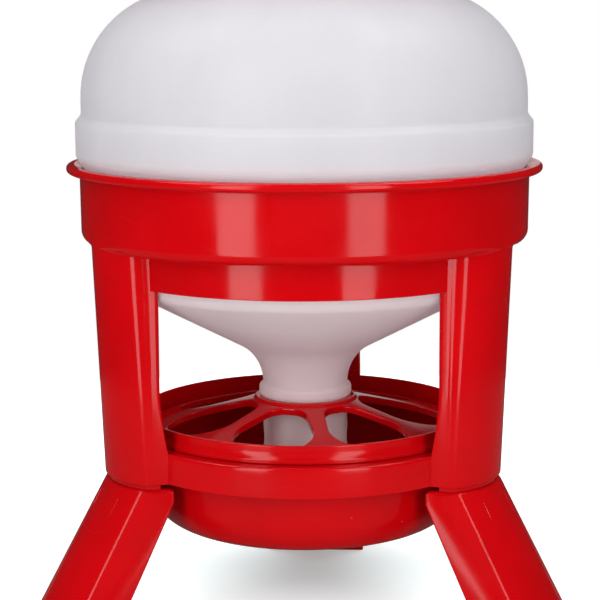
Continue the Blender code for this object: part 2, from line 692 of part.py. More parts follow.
def make_grille(coll, cutters, material):
    """Spoked grille: a sloping plate whose openings have turned-down lips."""
    rim_z = SEAT_Z + FIT_GAP
    rim_in = GRILLE_R - GRILLE_RIM_LAND
    rim_top = rim_z + GRILLE_RIM_HEIGHT
    body_r = GRILLE_R - SEAT_WIDTH - 2 * GRILLE_SIDE_GAP
    slope = math.atan2(HUB_TOP_Z - rim_top, rim_in - HUB_R)
    corners = [
        (HUB_HOLE_R, HUB_TOP_Z, 0.0),
        (HUB_R, HUB_TOP_Z, HUB_FILLET),
        (rim_in, rim_top, FILLET_SOFT),
        (GRILLE_R, rim_top, 0.0),
        (GRILLE_R, rim_z, 0.0),
        (body_r, rim_z, 0.0),
        (body_r, rim_top - GRILLE_LIP_DEPTH, 0.0),
        (rim_in, rim_top - GRILLE_LIP_DEPTH, 0.0),
        (HUB_R, HUB_TOP_Z - GRILLE_LIP_DEPTH, 0.0),
        (HUB_R, HUB_TOP_Z - HUB_COLLAR, 0.0),
        (HUB_HOLE_R, HUB_TOP_Z - HUB_COLLAR, 0.0),
    ]
    grille = turned("pan_grille", corners, True, coll, material)
    inner_r = HUB_HOLE_R + HUB_WEB
    outer_r = GRILLE_R - GRILLE_RIM_WIDTH
    first = math.radians(SPOKE_TURN_DEG - 90.0)
    openings = []
    channels = []
    for k in range(SPOKES):
        spoke = first + 2 * math.pi * k / SPOKES
        middle = spoke + math.pi / SPOKES
        outline = opening_outline(middle, inner_r, outer_r)
        openings.append(prism("opening", outline, rim_z - HUB_COLLAR, HUB_TOP_Z + HUB_COLLAR, cutters))
        start = HUB_R + CHANNEL_FROM_HUB
        end = outer_r - CHANNEL_FROM_OPENING
        length = (end - start) / math.cos(slope)
        half = (end + start) / 2
        top_z = HUB_TOP_Z - (half - HUB_R) * math.tan(slope) - GRILLE_SKIN / math.cos(slope)
        bm = bmesh.new()
        bmesh.ops.create_cube(bm, size=1.0)
        depth = 2 * GRILLE_LIP_DEPTH
        shape = Matrix.Diagonal((length, CHANNEL_WIDTH, depth, 1.0))
        tilt = Matrix.Rotation(slope, 4, "Y")
        place = Matrix.Translation((half, 0.0, top_z)) @ tilt @ Matrix.Translation((0.0, 0.0, -depth / 2))
        bmesh.ops.transform(bm, matrix=Matrix.Rotation(spoke, 4, "Z") @ place @ shape, verts=bm.verts)
        mesh = bpy.data.meshes.new("channel")
        bm.to_mesh(mesh)
        bm.free()
        channel = bpy.data.objects.new("channel", mesh)
        cutters.objects.link(channel)
        channels.append(channel)
    combine(grille, joined("grille_openings", openings, cutters), "DIFFERENCE")
    combine(grille, joined("grille_channels", channels, cutters), "DIFFERENCE")
    return grille


def main():
    clear_scene()
    parts = make_collection("poultry_feeder_tower")
    cutters = make_collection("cutters")
    red_names = ("tub", "post", "foot", "pan", "grille", "lid")
    reds = {name: make_material("red_" + name, RED, 0.22) for name in red_names}
    milky = make_material("milky_hopper", MILKY, 0.38)

    axis_empty = bpy.data.objects.new("tower_axis", None)
    axis_empty.location = (0.0, AXIS_Y, 0.0)
    parts.objects.link(axis_empty)

    pieces = [
        (make_tub_ring(parts, reds["tub"]), LIP_HEIGHT),
        (make_lower_ring(parts, reds["tub"]), RING_TOP_Z),
        (make_lid(parts, cutters, reds["lid"]), MOUTH_TOP_Z),
        (make_pan(parts, reds["pan"]), PAN_FLANGE_Z),
        (make_grille(parts, cutters, reds["grille"]), SEAT_Z),
    ]
    pieces += [(shell, LIP_HEIGHT) for shell in make_hopper(parts, milky)]
    envelopes = frame_envelope(cutters)
    for side, angle in POST_ANGLES.items():
        pieces.append((make_post(side, angle, envelopes, parts, cutters, reds["post"]), None))
    for side, angle in POST_ANGLES.items():
        pieces.append((make_foot(side, angle, parts, cutters, reds["foot"]), None))
    angles = list(POST_ANGLES.values()) * 2
    for index, (obj, height) in enumerate(pieces):
        if height is None:
            turn = angles[index - len(pieces) + len(angles)]
            origin = turn_about_axis([(POST_BOTTOM_R - POST_WALL, 0.0, RING_BOTTOM_Z)], turn)[0]
        else:
            origin = Vector((0.0, 0.0, height))
        finish(obj, origin, axis_empty)


main()
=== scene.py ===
import math

import bmesh
import bpy
from mathutils import Matrix, Vector


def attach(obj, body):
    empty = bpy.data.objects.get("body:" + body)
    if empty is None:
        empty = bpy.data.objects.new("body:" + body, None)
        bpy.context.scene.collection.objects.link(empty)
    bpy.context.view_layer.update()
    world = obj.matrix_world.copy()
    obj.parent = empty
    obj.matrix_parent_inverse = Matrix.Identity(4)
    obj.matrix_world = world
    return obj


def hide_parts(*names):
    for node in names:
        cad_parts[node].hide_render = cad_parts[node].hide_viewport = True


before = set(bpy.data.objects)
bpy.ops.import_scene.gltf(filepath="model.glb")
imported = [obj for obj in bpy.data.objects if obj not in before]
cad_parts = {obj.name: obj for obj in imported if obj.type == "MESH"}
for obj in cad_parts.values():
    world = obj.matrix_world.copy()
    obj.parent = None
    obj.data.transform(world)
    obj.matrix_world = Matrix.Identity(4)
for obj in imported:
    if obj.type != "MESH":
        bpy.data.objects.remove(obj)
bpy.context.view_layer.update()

# Main sizes in metres: the CAD model's, some fitted a little closer to the photograph
AXIS_Y = -0.0365483
LIP_Z = 0.425
TUB_R = 0.1985
TUB_WALL = 0.003
TUB_DRAFT = 0.0005
LIP_R = 0.210
LIP_BEAD_R = 0.0033
LEDGE_Z = 0.362
BAND_R = 0.176
BAND_Z = 0.331
RING_INNER_R = 0.1497
RING_R = 0.1628
RING_TOP_Z = 0.19
RING_BOTTOM_Z = 0.1637
RING_SKIN = 0.003
RING_GUIDE_DEPTH = 0.014
POST_ANGLES = {"left": -60.0, "right": 60.0, "back": 180.0}
POST_HALF_W = 0.0445
POST_BACK_HALF_W = 0.0478
POST_FACE_R = 0.070
POST_TOP_R = 0.1977
POST_BOTTOM_R = 0.1894
POST_BACK_R = 0.167
POST_WALL = 0.003
FOOT_TOP_Z = 0.1595
FOOT_HEEL_Z = 0.148
FOOT_TOP_R = 0.1873
FOOT_INNER_R = 0.1512
FOOT_HALF_W = 0.038
FOOT_INNER_HALF_W = 0.0515
FOOT_SLOPE = math.tan(math.radians(30.98))
FOOT_INNER_SLOPE = math.tan(math.radians(27.0))
FOOT_FACE_R = 0.075
FOOT_FACE_SPREAD = 0.0063
FOOT_TOE_IN = 0.0015
FOOT_WALL = 0.0032
SPIGOT_INSET = 0.0034
SPIGOT_BACK_R = 0.1631
SPIGOT_TOP_Z = 0.1887
PAN_RIM_R = 0.1495
PAN_WALL = 0.0028
PAN_TOP_Z = 0.2056
PAN_BOTTOM_Z = 0.105
PAN_BOWL_R = 0.1485
PAN_LOW_R = 0.1395
PAN_FLANGE_R = 0.152
PAN_FLANGE_Z = 0.1903
PAN_FLANGE_THICK = 0.0034
PAN_CORNER_R = 0.036
SEAT_Z = 0.1865
SEAT_R = 0.1445
GRILLE_R = 0.146
HUB_HOLE_R = 0.0384
HUB_R = 0.0464
HUB_TOP_Z = 0.2175
HUB_COLLAR = 0.010
SPOKES = 7
SPOKE_TURN = math.radians(11.4)
HOPPER_R = 0.1935
HOPPER_LOWER_R = 0.166
HOPPER_WALL = 0.003
HOPPER_LEDGE_Z = 0.3653
DOME_R = 0.1962
DOME_ARC_Z = 0.4855
DOME_SHOULDER_R = 0.0937
DOME_SLOPE = math.radians(23.6)
MOUTH_R = 0.130
MOUTH_TOP_Z = 0.6086
BELT_R = 0.2014
TUBE_R = 0.0372
NECK_R = 0.038
BEAD_R = 0.0416
BEAD_TOP_Z = 0.2293
BEAD_BOTTOM_Z = 0.2178
CONE_TOP_Z = 0.3215
CONE_END_Z = 0.254
OUTLET_Z = 0.1408
LID_R = 0.1335
LID_WALL = 0.0026
LID_TOP_Z = 0.6115
LID_BOSS_R = 0.088
LID_BOSS_Z = 0.614
LID_SKIRT_Z = 0.579
LID_RIBS = 42

# Finer shape of the mouldings, read from the photograph
ARRIS_TOP_R = 0.017
ARRIS_LOW_R = 0.010
BACK_CORNER_R = 0.003
BACK_BEND_Z = 0.245
FINE_CORNER = 0.0003
SIDE_SPLIT_LOW_R = 0.1745
SIDE_BULGE = 0.00035
BAND_EDGE_R = 0.0008
INNER_BAND_R = BAND_R - TUB_WALL - TUB_DRAFT
LIP_INNER_RISE = 0.0045
RING_EDGE_R = 0.003
BOTTOM_EDGE_R = 0.0007
LEDGE_TOP_Z = 0.3625
LEDGE_ROUND = 0.0085
LEDGE_ROUND_AT_POST = 0.002
LEDGE_ROUND_ON_FACE = 0.0055
LEDGE_FOOT_R = 0.0025
LEDGE_FOOT_SOFT = 0.0015
LEDGE_DROOP = 0.002
LEDGE_FACE_RISE = 0.0035
LEDGE_FADE_ANGLE = math.radians(33)
FOOT_ARRIS_R = 0.010
FOOT_LEAST_ARRIS_R = 0.0006
FOOT_SIDE_BULGE = 0.0008
FOOT_INNER_CORNER_R = 0.002
FOOT_TOP_EDGE_R = 0.003
SOLE_EDGE_R = 0.0008
SPIGOT_EDGE = 0.0008
PANEL_HALF_W = 0.0195
PANEL_TOP_DROP = 0.0095
PANEL_HEIGHT = 0.0165
PANEL_CORNER_R = 0.003
PANEL_RIDGE_W = 0.0007
PANEL_RIDGE_H = 0.00035
PANEL_SINK = 0.0002
PANEL_STEP = 0.003
FLANGE_FLARE = 0.004
PAN_CONE_R = 0.045
PAN_CONE_RISE = 0.012
GRILLE_SKIN = 0.0026
GRILLE_LIP = 0.0063
GRILLE_EDGE_R = 0.0015
GRILLE_FINE_EDGE = 0.0005
GRILLE_LIP_THICK = 0.0024
GRILLE_BEND_R = 0.1425
GRILLE_STEP_R = 0.1433
GRILLE_SKIRT_R = 0.1431
GRILLE_SKIRT_IN_R = 0.1405
GRILLE_SKIRT = 0.007
GRILLE_FLANGE = 0.003
SEAT_GAP = 0.0003
CONE_SLOPE = 0.2484
CONE_TOP_DROP = 0.0027
CELL_INNER_R = 0.0470
CELL_OUTER_R = 0.1362
OPENING_INNER_R = 0.0506
OPENING_MIDDLE_R = 0.095
OPENING_OUTER_R = 0.130
OPENING_CORNER_IN_R = 0.018
OPENING_CORNER_OUT_R = 0.034
OPENING_END_HALF_W = 0.02
SPOKE_WIDTH_IN = 0.0169
SPOKE_WIDTH_OUT = 0.0087
BELT_TOP_Z = LIP_Z + 0.0468
BELT_FULL_Z = LIP_Z + 0.0405
BELT_LOW_Z = LIP_Z + 0.0105
HOPPER_WALL_Z = LIP_Z - 0.001
FLASH_ANGLES = (2.6, 182.6)
FLASH_HALF_THICK = 0.0003
FLASH_ROOT = 0.0004
FLASH_OUT = 0.0006
FLASH_UNEVEN = 0.0003
FLASH_WAVES = 900
LID_RIB_HEIGHT = 0.0014
LID_RIB_SHARPNESS = 1.5
LID_RIB_LOW_Z = LID_SKIRT_Z + 0.0045
LID_RIB_HIGH_Z = LID_TOP_Z - 0.0085

# Steps along curves and faces
WELD = 0.00001
ARC_STEP = math.radians(6)
WIDE_ARC_STEP = math.radians(12)
SHARP_ANGLE = math.radians(32)
SECTOR = math.radians(60)
FACE_STEPS = 14
ARRIS_STEPS = 12
COARSE_FACE_STEPS = 8
COARSE_ARRIS_STEPS = 4
SIDE_STEPS = 6
SIDE_INNER_STEPS = 3
BACK_CORNER_STEPS = 6
BACK_STEPS = 8
EDGE_STEPS = 3
TOP_EDGE_STEPS = 5
LEDGE_UPPER_STEPS = 9
LEDGE_LOWER_STEPS = 6
LEDGE_FADE_STEPS = 14
LEDGE_PASSES = 4
BAND_ROWS = 7
WINDOW_STEPS = 26
RING_INNER_STEPS = 30
FOOT_ARRIS_STEPS = 11
FOOT_SIDE_STEPS = 8
FOOT_INNER_STEPS = 6
FOOT_ROWS = 18
OPENING_OUT_STEPS = 13
OPENING_SIDE_STEPS = 28
OPENING_IN_STEPS = 14
OUTER_CORNER_LEAN = 0.62
INNER_CORNER_LEAN = 1.25
FLASH_STEPS = 14
ALL_ROUND = [2 * math.pi * k / 240 for k in range(240)]
ORIGIN = Vector((0.0, 0.0))


def spread(start, end, pieces):
    """Evenly spaced numbers from start to end, both included."""
    return [start + (end - start) * k / pieces for k in range(pieces + 1)]


def clamped(x):
    return min(1.0, max(0.0, x))


def smooth(x):
    """Ease from 0 to 1, level at both ends."""
    x = clamped(x)
    return x * x * (3 - 2 * x)


def arc(centre, radius, start, end, steps):
    return [centre + radius * Vector((math.cos(a), math.sin(a))) for a in spread(start, end, steps)]


def edge_steps(radius, pieces):
    """A rounded edge from its side to its end: what is left to the end, and the inset from the side."""
    angles = spread(0.0, math.pi / 2, pieces)
    return [(radius * (1 - math.sin(a)), radius * (1 - math.cos(a))) for a in angles]


def rounded(corners, closed=False, step=ARC_STEP):
    """Corners given as (x, y, fillet radius), turned into points with the fillets drawn."""
    points = []
    count = len(corners)
    for i, (x, y, fillet) in enumerate(corners):
        here = Vector((x, y))
        if fillet <= 0 or (not closed and i in (0, count - 1)):
            points.append((x, y))
            continue
        back = (Vector(corners[i - 1][:2]) - here).normalized()
        ahead = (Vector(corners[(i + 1) % count][:2]) - here).normalized()
        half = back.angle(ahead) / 2
        centre = here + (back + ahead).normalized() * (fillet / math.sin(half))
        start = here + back * (fillet / math.tan(half)) - centre
        end = here + ahead * (fillet / math.tan(half)) - centre
        turn = math.atan2(start.x * end.y - start.y * end.x, start.dot(end))
        pieces = max(2, math.ceil(abs(turn) / step))
        for k in range(pieces + 1):
            angle = turn * k / pieces
            c, s = math.cos(angle), math.sin(angle)
            points.append((centre.x + start.x * c - start.y * s, centre.y + start.x * s + start.y * c))
    return points


class Body:
    """Faces gathered as lists of points, welded into one mesh at the end."""

    def __init__(self):
        self.bm = bmesh.new()

    def face(self, points):
        kept = []
        for p in points:
            if not kept or (Vector(p) - Vector(kept[-1])).length > WELD / 2:
                kept.append(p)
        if len(kept) > 2 and (Vector(kept[0]) - Vector(kept[-1])).length <= WELD / 2:
            kept.pop()
        if len(kept) > 2:
            self.bm.faces.new([self.bm.verts.new(p) for p in kept])

    def grid(self, rows, wrap=False):
        for low, high in zip(rows, rows[1:]):
            count = len(low)
            for k in range(count if wrap else count - 1):
                j = (k + 1) % count
                self.face([low[k], low[j], high[j], high[k]])

    def turned(self, profile, angles, closed=False, radius=None):
        """Turn a profile of (radius, height) about the tower's axis."""
        rows = []
        for r, z in profile:
            row = []
            for a in angles:
                rr = radius(r, z, a) if radius else r
                row.append((rr * math.cos(a), rr * math.sin(a), z))
            rows.append(row)
        if closed:
            rows.append(rows[0])
        self.grid(rows, wrap=True)

    def made(self, name):
        """Weld the faces into a mesh and put its object in the scene."""
        bmesh.ops.remove_doubles(self.bm, verts=self.bm.verts, dist=WELD)
        bmesh.ops.dissolve_degenerate(self.bm, edges=self.bm.edges, dist=WELD / 5)
        bmesh.ops.recalc_face_normals(self.bm, faces=self.bm.faces)
        mesh = bpy.data.meshes.new(name)
        self.bm.to_mesh(mesh)
        self.bm.free()
        obj = bpy.data.objects.new(name, mesh)
        bpy.context.scene.collection.objects.link(obj)
        return obj

    def piece(self, name, material, body, nodes):
        """Make the object, stand its mesh on the tower's axis and take over the CAD nodes."""
        obj = self.made(name)
        mesh = obj.data
        mesh.transform(Matrix.Translation((0.0, AXIS_Y, 0.0)))
        mesh.shade_smooth()
        mesh.set_sharp_from_angle(angle=SHARP_ANGLE)
        weighted = obj.modifiers.new("weighted", "WEIGHTED_NORMAL")
        weighted.keep_sharp = True
        mesh.materials.append(material)
        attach(obj, body)
        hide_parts(*nodes)
        return obj


class FaceList(Body):
    """Faces kept as lists of points, to be copied round the tower."""

    def __init__(self):
        self.faces = []

    def face(self, points):
        self.faces.append(points)


def sector_points(points, degrees, side):
    """Half-sector points (outward, sideways, height), put at a post's angle, mirrored by side."""
    a = math.radians(degrees)
    out = Vector((math.sin(a), -math.cos(a), 0.0))
    across = Vector((math.cos(a), math.sin(a), 0.0)) * side
    return [out * u + across * t + Vector((0.0, 0.0, z)) for u, t, z in points]


def add_sectors(body, faces, degrees):
    """Add half-sector faces and their mirror images at a post's angle."""
    for side in (1, -1):
        for points in faces:
            body.face(sector_points(points, degrees, side))


def at_height(points, z):
    return [(p.x, p.y, z) for p in points]


def polar(radius, angle, z):
    return (radius * math.cos(angle), radius * math.sin(angle), z)


# Stand frame
def post_apex(z):
    """Radius of the middle of a post's face."""
    share = (LEDGE_Z - z) / (LEDGE_Z - RING_BOTTOM_Z)
    return POST_TOP_R + (POST_BOTTOM_R - POST_TOP_R) * share


def post_back(z):
    """Radius of a post's back, which bends out to meet the lower ring."""
    drop = clamped((BACK_BEND_Z - z) / (BACK_BEND_Z - RING_TOP_Z))
    return POST_BACK_R - (POST_BACK_R - RING_R) * drop * drop


def arris(z):
    """Radius of the rounded edge between a post's face and its side."""
    share = clamped((z - RING_TOP_Z) / (BAND_Z - RING_TOP_Z))
    return ARRIS_LOW_R + (ARRIS_TOP_R - ARRIS_LOW_R) * share


def back_corner(z):
    """Radius of the rounded edge between a post's side and its back."""
    share = clamped((z - RING_TOP_Z) / (BACK_BEND_Z - RING_TOP_Z))
    return FINE_CORNER + (BACK_CORNER_R - FINE_CORNER) * share


def side_splits(z):
    """Radii at which a post's side wall is divided: the band's outside and its inside."""
    if z >= BAND_Z:
        first = BAND_R - TUB_DRAFT * (LEDGE_Z - z) / (LEDGE_Z - BAND_Z)
    else:
        low = SIDE_SPLIT_LOW_R - (BAND_R - TUB_DRAFT)
        first = BAND_R - TUB_DRAFT + low * min(1.0, (BAND_Z - z) / (BAND_Z - RING_TOP_Z))
    return first, first - TUB_WALL


def line_circle(start, direction, radius, centre=ORIGIN):
    """First point along a line at a distance from a centre, as it comes nearer."""
    w = start - centre
    along = w.dot(direction)
    reach = -along - math.sqrt(max(0.0, along * along - w.length_squared + radius * radius))
    return start + direction * reach


def post_half(z, inset=0.0, back_r=None, corner=None, fine=True):
    """Half of a post's section, from the middle of its face round to the middle of its back."""
    back_sharp = post_back(z)
    face_centre = Vector((post_apex(z) - POST_FACE_R, 0.0))
    face_r = POST_FACE_R - inset
    meet = face_centre + Vector((math.sqrt(POST_FACE_R ** 2 - POST_HALF_W ** 2), POST_HALF_W))
    corner_point = Vector((math.sqrt(back_sharp ** 2 - POST_BACK_HALF_W ** 2), POST_BACK_HALF_W))
    along = (corner_point - meet).normalized()
    normal = Vector((along.y, -along.x))
    line = meet - normal * inset
    arris_r = arris(z) - inset
    centre = line_circle(line - normal * arris_r, along, face_r - arris_r, face_centre)
    start = math.atan2(centre.y, centre.x - face_centre.x)
    end = math.atan2(normal.y, normal.x)
    front = arc(face_centre, face_r, 0.0, start, FACE_STEPS if fine else COARSE_FACE_STEPS)
    front += arc(centre, arris_r, start, end, ARRIS_STEPS if fine else COARSE_ARRIS_STEPS)[1:]
    back_r = back_sharp if back_r is None else back_r
    corner = back_corner(z) if corner is None else corner
    corner_centre = line_circle(line - normal * corner, along, back_r + corner)
    side_end = corner_centre + normal * corner
    if fine:
        first, second = side_splits(z)
        split_a = line_circle(line, along, first)
        split_b = line_circle(line, along, second)
        front += [front[-1].lerp(split_a, share) for share in spread(0.0, 1.0, SIDE_STEPS)[1:]]
    else:
        split_a = front[-1].lerp(side_end, 0.35)
        split_b = front[-1].lerp(side_end, 0.7)
        front.append(split_a)
    side = [split_a] + [split_b.lerp(side_end, share) for share in spread(0.0, 1.0, SIDE_INNER_STEPS)]
    if fine:
        from_p = centre + normal * arris_r
        reach = (side_end - from_p).length

        def bowed(p):
            share = (p - from_p).length / reach
            return p + normal * (4 * SIDE_BULGE * share * (1 - share))

        first_side = FACE_STEPS + ARRIS_STEPS + 1
        front = front[:first_side] + [bowed(p) for p in front[first_side:]]
        side = [bowed(p) for p in side]
        side[1] = side[1] * (second / side[1].length)
    turn = math.atan2(corner_centre.y, corner_centre.x)
    back = [side_end] + arc(corner_centre, corner, end, turn + math.pi, BACK_CORNER_STEPS)[1:]
    back += arc(ORIGIN, back_r, turn, 0.0, BACK_STEPS)[1:]
    return front, side, back


TUB_UPPER = rounded([
    (INNER_BAND_R, BAND_Z, 0.0),
    (BAND_R - TUB_WALL, LEDGE_Z + TUB_WALL, 0.0),
    (TUB_R - TUB_DRAFT - TUB_WALL, LEDGE_Z + TUB_WALL, 0.008),
    (TUB_R - TUB_WALL, LIP_Z + LIP_BEAD_R - TUB_WALL, 0.004),
    (LIP_R - 2.2 * LIP_BEAD_R, LIP_Z + LIP_INNER_RISE, 0.006),
    (LIP_R, LIP_Z + LIP_BEAD_R, LIP_BEAD_R * 0.99),
    (LIP_R, LIP_Z - LIP_BEAD_R, LIP_BEAD_R * 0.999),
    (TUB_R, LIP_Z - LIP_BEAD_R, 0.0022),
    (TUB_R - TUB_DRAFT, LEDGE_Z, 0.0),
], step=WIDE_ARC_STEP)[:-1]


def ledge_curve(radius, angle, on_face):
    """The ledge below the tub's wall for one upright line, down to the band or the post's face."""
    wall_r = TUB_R - TUB_DRAFT
    near = smooth((SECTOR - angle) / LEDGE_FADE_ANGLE)
    upper = LEDGE_ROUND + LEDGE_ROUND_AT_POST * near
    upper += (LEDGE_ROUND_ON_FACE - upper) * on_face
    lower = LEDGE_FOOT_R + LEDGE_FOOT_SOFT * on_face
    top = LEDGE_TOP_Z - LEDGE_DROOP * near + LEDGE_FACE_RISE * on_face
    step = wall_r - radius
    turn = math.pi / 2 if step >= upper + lower else math.acos(1 - step / (upper + lower))
    end_z = top - lower * math.sin(turn)
    start_z = end_z + (upper + lower) * math.sin(turn)
    points = []
    for a in spread(0.0, turn, LEDGE_UPPER_STEPS):
        points.append((wall_r - upper + upper * math.cos(a), start_z - upper * math.sin(a)))
    round_end = points[-1]
    flat_end = (radius + lower - lower * math.cos(turn), end_z + lower * math.sin(turn))
    for share in (1 / 3, 2 / 3):
        points.append(tuple(a + (b - a) * share for a, b in zip(round_end, flat_end)))
    for b in spread(turn, 0.0, LEDGE_LOWER_STEPS):
        points.append((radius + lower - lower * math.cos(b), end_z + lower * math.sin(b)))
    return points, end_z


def band_column(point_at, on_face, inward):
    """One upright line of the tub ring: inside, lip, wall, ledge and band, to the band's lower edge."""
    z = LEDGE_TOP_Z - LEDGE_DROOP
    for _ in range(LEDGE_PASSES):
        p = point_at(z)
        curve, z = ledge_curve(p.length, math.atan2(p.y, p.x), on_face)
    p = point_at(z)
    column = [polar(r, math.atan2(p.y, p.x), zz) for r, zz in TUB_UPPER + curve]
    edge_z = BAND_Z + BAND_EDGE_R
    for zz in spread(z, edge_z, BAND_ROWS)[1:-1]:
        q = point_at(zz)
        column.append((q.x, q.y, zz))
    for rise, inset in edge_steps(BAND_EDGE_R, EDGE_STEPS):
        q = point_at(BAND_Z + rise)
        q = q * (1 - inset * inward / q.length)
        column.append((q.x, q.y, BAND_Z + rise))
    return column


def add_band(part):
    """Tub ring, with the window's roof and the step above the post's back."""
    front, side, back = post_half(BAND_Z)
    columns = []
    for k in range(len(front)):
        on_face = 1.0 if k <= FACE_STEPS else smooth(1 - (k - FACE_STEPS) / LEDGE_FADE_STEPS)
        columns.append(band_column(lambda z, k=k: post_half(z)[0][k], on_face, 0.0))
    for k, a in enumerate(spread(math.atan2(side[1].y, side[1].x), SECTOR, WINDOW_STEPS)):
        def band_point(z, a=a):
            r = side_splits(max(z, BAND_Z))[0]
            return Vector((r * math.cos(a), r * math.sin(a)))

        columns.append(band_column(band_point, 0.0, min(1.0, (k + 1) / 3)))
    part.grid([list(row) for row in zip(*columns)])
    band_start = len(front)
    outer_bottom = [c[-1] for c in columns[band_start - 1:]]
    inner_bottom = [c[0] for c in columns]
    part.face(outer_bottom + inner_bottom[band_start:][::-1])
    part.face(inner_bottom[:band_start + 1] + at_height(side[2:] + back[1:], BAND_Z))


def add_post(part):
    """Post between the band and the lower ring."""
    rows = []
    for z in spread(BAND_Z, BACK_BEND_Z, 10) + spread(BACK_BEND_Z, RING_TOP_Z, 9)[1:]:
        front, side, back = post_half(z)
        rows.append(at_height(front + side[1:] + back[1:], z))
    part.grid(rows)


def add_ring(part):
    """Lower ring and the post's foot end; returns their lowest line of points."""
    front, side, back = post_half(RING_TOP_Z)
    ring_angles = spread(math.atan2(side[-1].y, side[-1].x), SECTOR, WINDOW_STEPS)[1:]
    top_edge = edge_steps(RING_EDGE_R, TOP_EDGE_STEPS)[::-1]
    levels = [(RING_TOP_Z - drop, cut, 0.0) for drop, cut in top_edge]
    levels += [(z, 0.0, 0.0) for z in spread(levels[-1][0], RING_BOTTOM_Z + BOTTOM_EDGE_R, 6)[1:]]
    bottom_edge = edge_steps(BOTTOM_EDGE_R, EDGE_STEPS)[1:]
    levels += [(RING_BOTTOM_Z + rise, 0.0, inset) for rise, inset in bottom_edge]
    rows = []
    for z, cut, inset in levels:
        front, side, _ = post_half(z, inset=inset)
        row = at_height(front + side[1:], z)
        for k, a in enumerate(ring_angles):
            row.append(polar(RING_R - cut * min(1.0, (k + 1) / 2) - inset, a, z))
        rows.append(row)
    part.grid(rows)
    inner_angles = spread(0.0, SECTOR, RING_INNER_STEPS)
    guide_r = RING_INNER_R + RING_SKIN
    skirt_r = RING_R - RING_SKIN
    inside = rounded([
        (RING_INNER_R, RING_TOP_Z, 0.0),
        (RING_INNER_R, RING_TOP_Z - RING_GUIDE_DEPTH, 0.0006),
        (guide_r, RING_TOP_Z - RING_GUIDE_DEPTH, 0.0006),
        (guide_r, RING_TOP_Z - RING_SKIN, 0.001),
        (skirt_r, RING_TOP_Z - RING_SKIN, 0.001),
        (skirt_r, RING_BOTTOM_Z, 0.0),
    ], step=math.radians(30))
    part.grid([[polar(r, a, z) for a in inner_angles] for r, z in inside])
    ring_top = rows[0][len(front) + len(side) - 2:]
    inner_top = [polar(RING_INNER_R, a, RING_TOP_Z) for a in inner_angles]
    part.face(ring_top + inner_top[::-1] + at_height(back[::-1], RING_TOP_Z))
    return rows[-1]


def socket_row(z):
    """The inside of a post at a height."""
    if z >= BAND_Z:
        back_r = BAND_R + TUB_WALL + FINE_CORNER
    elif z > RING_TOP_Z:
        back_r = post_back(z) + POST_WALL
    else:
        back_r = RING_R + FINE_CORNER + POST_WALL
    front, side, back = post_half(z, inset=POST_WALL, back_r=back_r, corner=2 * FINE_CORNER, fine=False)
    return at_height(front + side[1:] + back[1:], z)


def add_socket(part, ring_bottom):
    """Socket inside the post, open below, and the flat edge from it to the ring's lowest line."""
    top = LEDGE_Z - 2 * POST_WALL
    levels = [RING_BOTTOM_Z, RING_TOP_Z] + spread(RING_TOP_Z, BACK_BEND_Z, 4)[1:]
    levels += [BAND_Z - POST_WALL, BAND_Z, top]
    rows = [socket_row(z) for z in levels]
    part.grid(rows)
    part.face(rows[-1] + [(rows[-1][0][0], 0.0, top)])
    inner_angles = spread(0.0, SECTOR, RING_INNER_STEPS)
    skirt_bottom = [polar(RING_R - RING_SKIN, a, RING_BOTTOM_Z) for a in inner_angles]
    part.face(ring_bottom + skirt_bottom[::-1] + rows[0][::-1])


def build_frame(material):
    """The stand frame as one moulding: tub ring, three posts and the lower ring."""
    part = FaceList()
    add_band(part)
    add_post(part)
    ring_bottom = add_ring(part)
    add_socket(part, ring_bottom)
    body = Body()
    for degrees in POST_ANGLES.values():
        add_sectors(body, part.faces, degrees)
    nodes = ["frame_tub_ring", "frame_lower_ring", "frame_post_left", "frame_post_right", "frame_post_back"]
    return body.piece("stand_frame_moulding", material, "stand_frame", nodes)


# Feet
def foot_half(z, inset=0.0):
    """Half of a foot's section, from the middle of its outer face to the middle of its inner wall."""
    drop = FOOT_TOP_Z - z
    share = drop / FOOT_TOP_Z
    apex = FOOT_TOP_R + FOOT_SLOPE * drop
    inner = FOOT_INNER_R + FOOT_INNER_SLOPE * max(0.0, FOOT_HEEL_Z - z)
    half = FOOT_HALF_W + FOOT_FACE_SPREAD * share
    inner_half = FOOT_INNER_HALF_W - FOOT_TOE_IN * share
    face_centre = Vector((apex - FOOT_FACE_R, 0.0))
    face_r = FOOT_FACE_R - inset
    meet = face_centre + Vector((math.sqrt(FOOT_FACE_R ** 2 - half ** 2), half))
    along = (Vector((inner, inner_half)) - meet).normalized()
    normal = Vector((along.y, -along.x))
    line = meet - normal * inset
    arris_r = max(FOOT_ARRIS_R - inset, FOOT_LEAST_ARRIS_R)
    centre = line_circle(line - normal * arris_r, along, face_r - arris_r, face_centre)
    start = math.atan2(centre.y, centre.x - face_centre.x)
    end = math.atan2(normal.y, normal.x)
    points = arc(face_centre, face_r, 0.0, start, FACE_STEPS)
    points += arc(centre, arris_r, start, end, FOOT_ARRIS_STEPS)[1:]
    inner += inset
    corner = FOOT_INNER_CORNER_R
    base = line - normal * corner
    corner_centre = base + along * ((inner + corner - base.x) / along.x)
    side_end = corner_centre + normal * corner
    from_p = points[-1]
    for share in spread(0.0, 1.0, FOOT_SIDE_STEPS)[1:]:
        bow = 0.0 if inset else 4 * FOOT_SIDE_BULGE * share * (1 - share)
        points.append(from_p.lerp(side_end, share) + normal * bow)
    points += arc(corner_centre, corner, end, math.pi, 5)[1:]
    points += [Vector((inner, y)) for y in spread(points[-1].y, 0.0, FOOT_INNER_STEPS)[1:]]
    return at_height(points, z)


